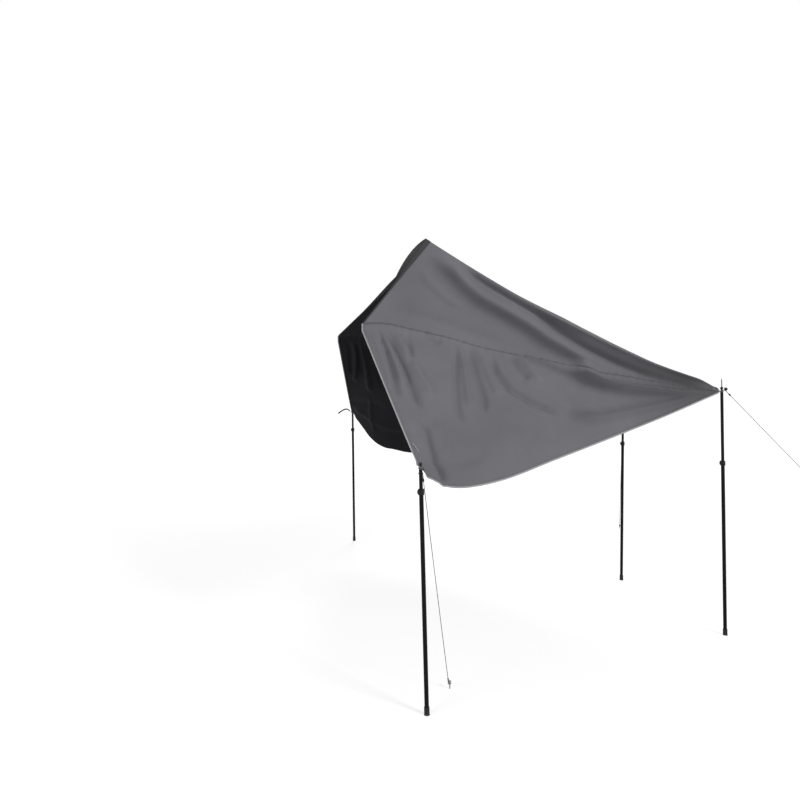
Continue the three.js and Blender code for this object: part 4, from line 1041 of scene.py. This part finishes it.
def on_way(place, meet, way):
    """The frame of a piece whose +Z runs along the rope where its strands meet."""
    turn = Vector((0, 0, 1)).rotation_difference(way).to_matrix().to_4x4()
    return place @ Matrix.Translation(meet) @ turn


def tie(name, place, points, pace=0.0012, stands_for=()):
    """Keeps a length of rope through points that are given in a frame."""
    line = through([place @ p for p in points], pace)
    return keep(name, braided(line, rope, 12), "canopy", rope_braid, stands_for)


half, wide, narrow = slider_long / 2, 0.0052, 0.0046
slider_outline = [(0, -half), (0.0034, -half), (0.0042, -half + 0.0008)]
for notch in (-0.0042, 0.0, 0.0042):
    slider_outline += [(wide, notch - 0.0016), (wide, notch + 0.0010), (narrow, notch + 0.0016)]
slider_outline += [(wide, 0.0066), (0.0042, half - 0.0008), (0.0034, half), (0, half)]
stop_ball, stem, head, wrap, wrap_long = 0.0115, 0.0036, 0.009, 0.0026, 0.0064
stop_outline = [(0, -stop_ball), *arc(stop_ball, -80, 160, 16), (0, stop_ball)]
peg_outline = [(0, -0.031), (stem, -0.031), (stem, 0.006), (stem + 0.0006, 0.008),
               (head - 0.0006, 0.008), (head, 0.0086), (head, 0.0110)]
peg_outline += [(head * math.cos(t) * 0.98, 0.0110 + 0.004 * math.sin(t))
                for t in (0.4, 0.8, 1.2)] + [(0, 0.015)]
wraps = [Vector((*p, wrap_long * (k / 32 - 0.5))) for k, p in enumerate(arc(wrap, 0, 720, 32))]
for name, (peg, on_tube) in guys.items():
    corner = corners[name]
    flat = math.hypot(peg.x - corner.x, peg.y - corner.y)
    bearing = math.degrees(math.atan2(peg.y - corner.y, peg.x - corner.x))
    rise = corner.z - peg.z
    slope = math.hypot(flat, rise)
    # what the loop goes round, how far above the cloth, and where its strands close
    post, level, run, seat = ((upper_radius, -0.0291, 0.01555, 0.0) if on_tube
                              else (0.0061, 0.00555, 0.01865, 0.0023))
    strands, meet, way = loop_round(post + 0.0006 + rope / 2, top_reach * flat / slope,
                                    top_reach * rise / slope, run)
    top = stand_on_pole(name, bearing, reach_up[name] + level, seat)
    tie(f"{name}_top_loop", top, strands)
    if not on_tube:
        keep(f"{name}_loop_stop", turned(stop_outline, 32), "canopy", slider_black,
             place=top @ Matrix.Translation((run + 0.005, 0, 0.009)))
    slider = keep(f"{name}_tension_slider", turned(slider_outline, 32), "canopy",
                  slider_black, [f"{name}_guy_slider"], on_way(top, meet, way))
    start = top @ (meet + way * (half + snug))
    strands, meet, way = loop_round(0.00795, peg_reach * flat / slope,
                                    -peg_reach * rise / slope, 0.0097)
    low = (Matrix.Translation(peg) @ Matrix.Rotation(math.radians(bearing + 180), 4, "Z")
           @ Matrix.Translation((0.0023, 0, 0)))
    peg_loop = tie(f"{name}_peg_loop", low, strands)
    knot = tie(f"{name}_peg_knot", on_way(low, meet, way), wraps, 0.0008, [f"{name}_guy_knot"])
    end = low @ (meet + way * (knot_long / 2 + snug))
    sag = Vector((0, 0, 0.009))
    route = through([start.lerp(end, t) - sag * arch(t) for t in np.arange(31) / 30], 0.0015)
    guy = keep(f"{name}_guy_line", braided(route, rope), "canopy", rope_braid,
               [f"{name}_guy_rope"])
    keep(f"{name}_ground_peg", turned(peg_outline, 32), "canopy", peg_steel,
         [f"{name}_guy_peg"], Matrix.Translation(peg))

# Webbing tail. The strap of the far inner corner is cut long and left free: black
# woven webbing, 14 mm wide, its end melted so that it doesn't fray.

webbing_black = cloth_look("webbing_black", (26, 26, 28), (16, 16, 18), 3.0, gloss=0.25, sheen=0.0)
tail_shares = ((0, 0), (.12, .54), (.28, .98), (.48, 1), (.68, .68), (.86, .29), (1, -.1))
tail_frame = stand_on_pole("far_tent", 169, reach_up["far_tent"])
tail_line = through([tail_frame @ Vector((0.0149 + 0.138 * out, 0, 0.041 * up))
                     for out, up in tail_shares], 0.003)
along = tangents(tail_line)
flat_sides = np.array([tail_frame.col[1].xyz.normalized()] * len(tail_line))
twist = math.radians(74) * ease(np.linspace(0, 3.2, len(tail_line)))[:, None]
tail_sides = flat_sides * np.cos(twist) + np.cross(along, flat_sides) * np.sin(twist)
strap = [(-.0070, .0004), (-.0066, .0010), (.0066, .0010), (.0070, .0004), (.0070, -.0004),
         (.0066, -.0010), (-.0066, -.0010), (-.0070, -.0004)]
tail = keep("far_tent_strap_tail", swept(tail_line, tail_sides, np.cross(along, tail_sides), strap),
            "canopy", webbing_black, ["far_tent_tail"])

# Hem loop. A short loop of pale cord is sewn down at both ends close to the near inner
# corner, where the rolled-up cloth is tied.

loop_cord = cloth_look("loop_cord_pale", (196, 196, 198), (168, 168, 171), 0.7)
loop_line = []
for share, high in ((0, .0006), (.07, .0021), (.25, .0050), (.5, .0066), (.75, .0050),
                    (.93, .0021), (1, .0006)):
    over = place_of("near", 0.018 + 0.030 * share, 0.845 + 0.035 * share)
    spot, normal, _, _ = draped.find_nearest(Vector(over))
    loop_line.append(spot + normal * math.copysign(high, normal.z))
keep("near_tent_hem_loop", braided(through(loop_line, 0.0012), 0.0030, 12), "canopy",
     loop_cord)

# Studio. A pale floor, a white surround and soft lamps, with the camera at eye height
# in front of the near side, looking level.


def straight_rays(nodes):
    """One where the camera looks, straight on, by reflection or through glass, else zero."""
    camera, mirrored, through_glass = [nodes("LightPath", out=f"Is {kind} Ray")
                                       for kind in ("Camera", "Glossy", "Transmission")]
    return nodes.math("MAXIMUM", nodes.math("MAXIMUM", camera, mirrored), through_glass)


def floor_look():
    look, nodes, place = start_look("studio_floor", 0.9, gloss=0.0)
    shader, out = [look.node_tree.nodes[each] for each in ("Principled BSDF", "Material Output")]
    away = nodes("VectorMath", {0: place}, "Value", operation="LENGTH")
    glow = nodes("Emission", {"Color": (1, 1, 1, 1),
                              "Strength": nodes.spread(away, 3.0, 12.0, 0.76, 1.0)})
    dark = nodes("Emission", {"Color": (0, 0, 0, 1), "Strength": 0.0})
    chosen = nodes("MixShader", {0: straight_rays(nodes), 1: dark, 2: glow})
    nodes.plug(Base_Color=nodes.spread(nodes("LightPath", out="Is Camera Ray"), 0, 1, 0.12, 0.42))
    both = nodes("AddShader", {0: shader.outputs[0], 1: chosen})
    look.node_tree.links.new(both, out.inputs["Surface"])
    return look


floor_mesh = bpy.data.meshes.new("studio_floor")
floor_bm = bmesh.new()
bmesh.ops.create_grid(floor_bm, x_segments=1, y_segments=1, size=40)
bmesh.ops.translate(floor_bm, verts=floor_bm.verts, vec=(0, 0, -0.0005))
floor_bm.to_mesh(floor_mesh)
floor_bm.free()
floor_mesh.materials.append(floor_look())
placed("studio_floor", floor_mesh)

world = bpy.data.worlds.new("studio_surround")
bpy.context.scene.world = world
world.use_nodes = True
nodes, surround = Nodes(world.node_tree), world.node_tree.nodes["Background"]
surround.inputs["Color"].default_value = (1, 1, 1, 1)
world.node_tree.links.new(nodes.spread(straight_rays(nodes), 0.0, 1.0, 0.16, 1.0),
                          surround.inputs["Strength"])


def soft_lamp(name, place, aim, size, power):
    lamp = bpy.data.lights.new(name, "AREA")
    lamp.shape, lamp.size, lamp.energy = "SQUARE", size, power
    way = Vector(aim) - Vector(place)
    placed(name, lamp, place).rotation_euler = way.to_track_quat("-Z", "Y").to_euler()


soft_lamp("key_lamp", (5.6, -9.4, 6.4), (0, -0.6, 1.9), 2.2, 840)
soft_lamp("fill_lamp", (-4.8, -4.2, 3.0), (0, -0.6, 1.9), 2.0, 90)
soft_lamp("back_lamp", (1.0, 7.5, 8.0), (0, 0.4, 2.0), 3.0, 420)

lens = bpy.data.cameras.new("eye")
lens.lens, lens.sensor_width, lens.shift_y = 28.0, 36.0, -0.04
eye = placed("eye", lens, (-1.7658, -4.9372, 1.85))
eye.rotation_euler = (math.radians(90), 0, math.radians(-10.7))
bpy.context.scene.camera = eye
bpy.context.scene.view_settings.view_transform = "Standard"
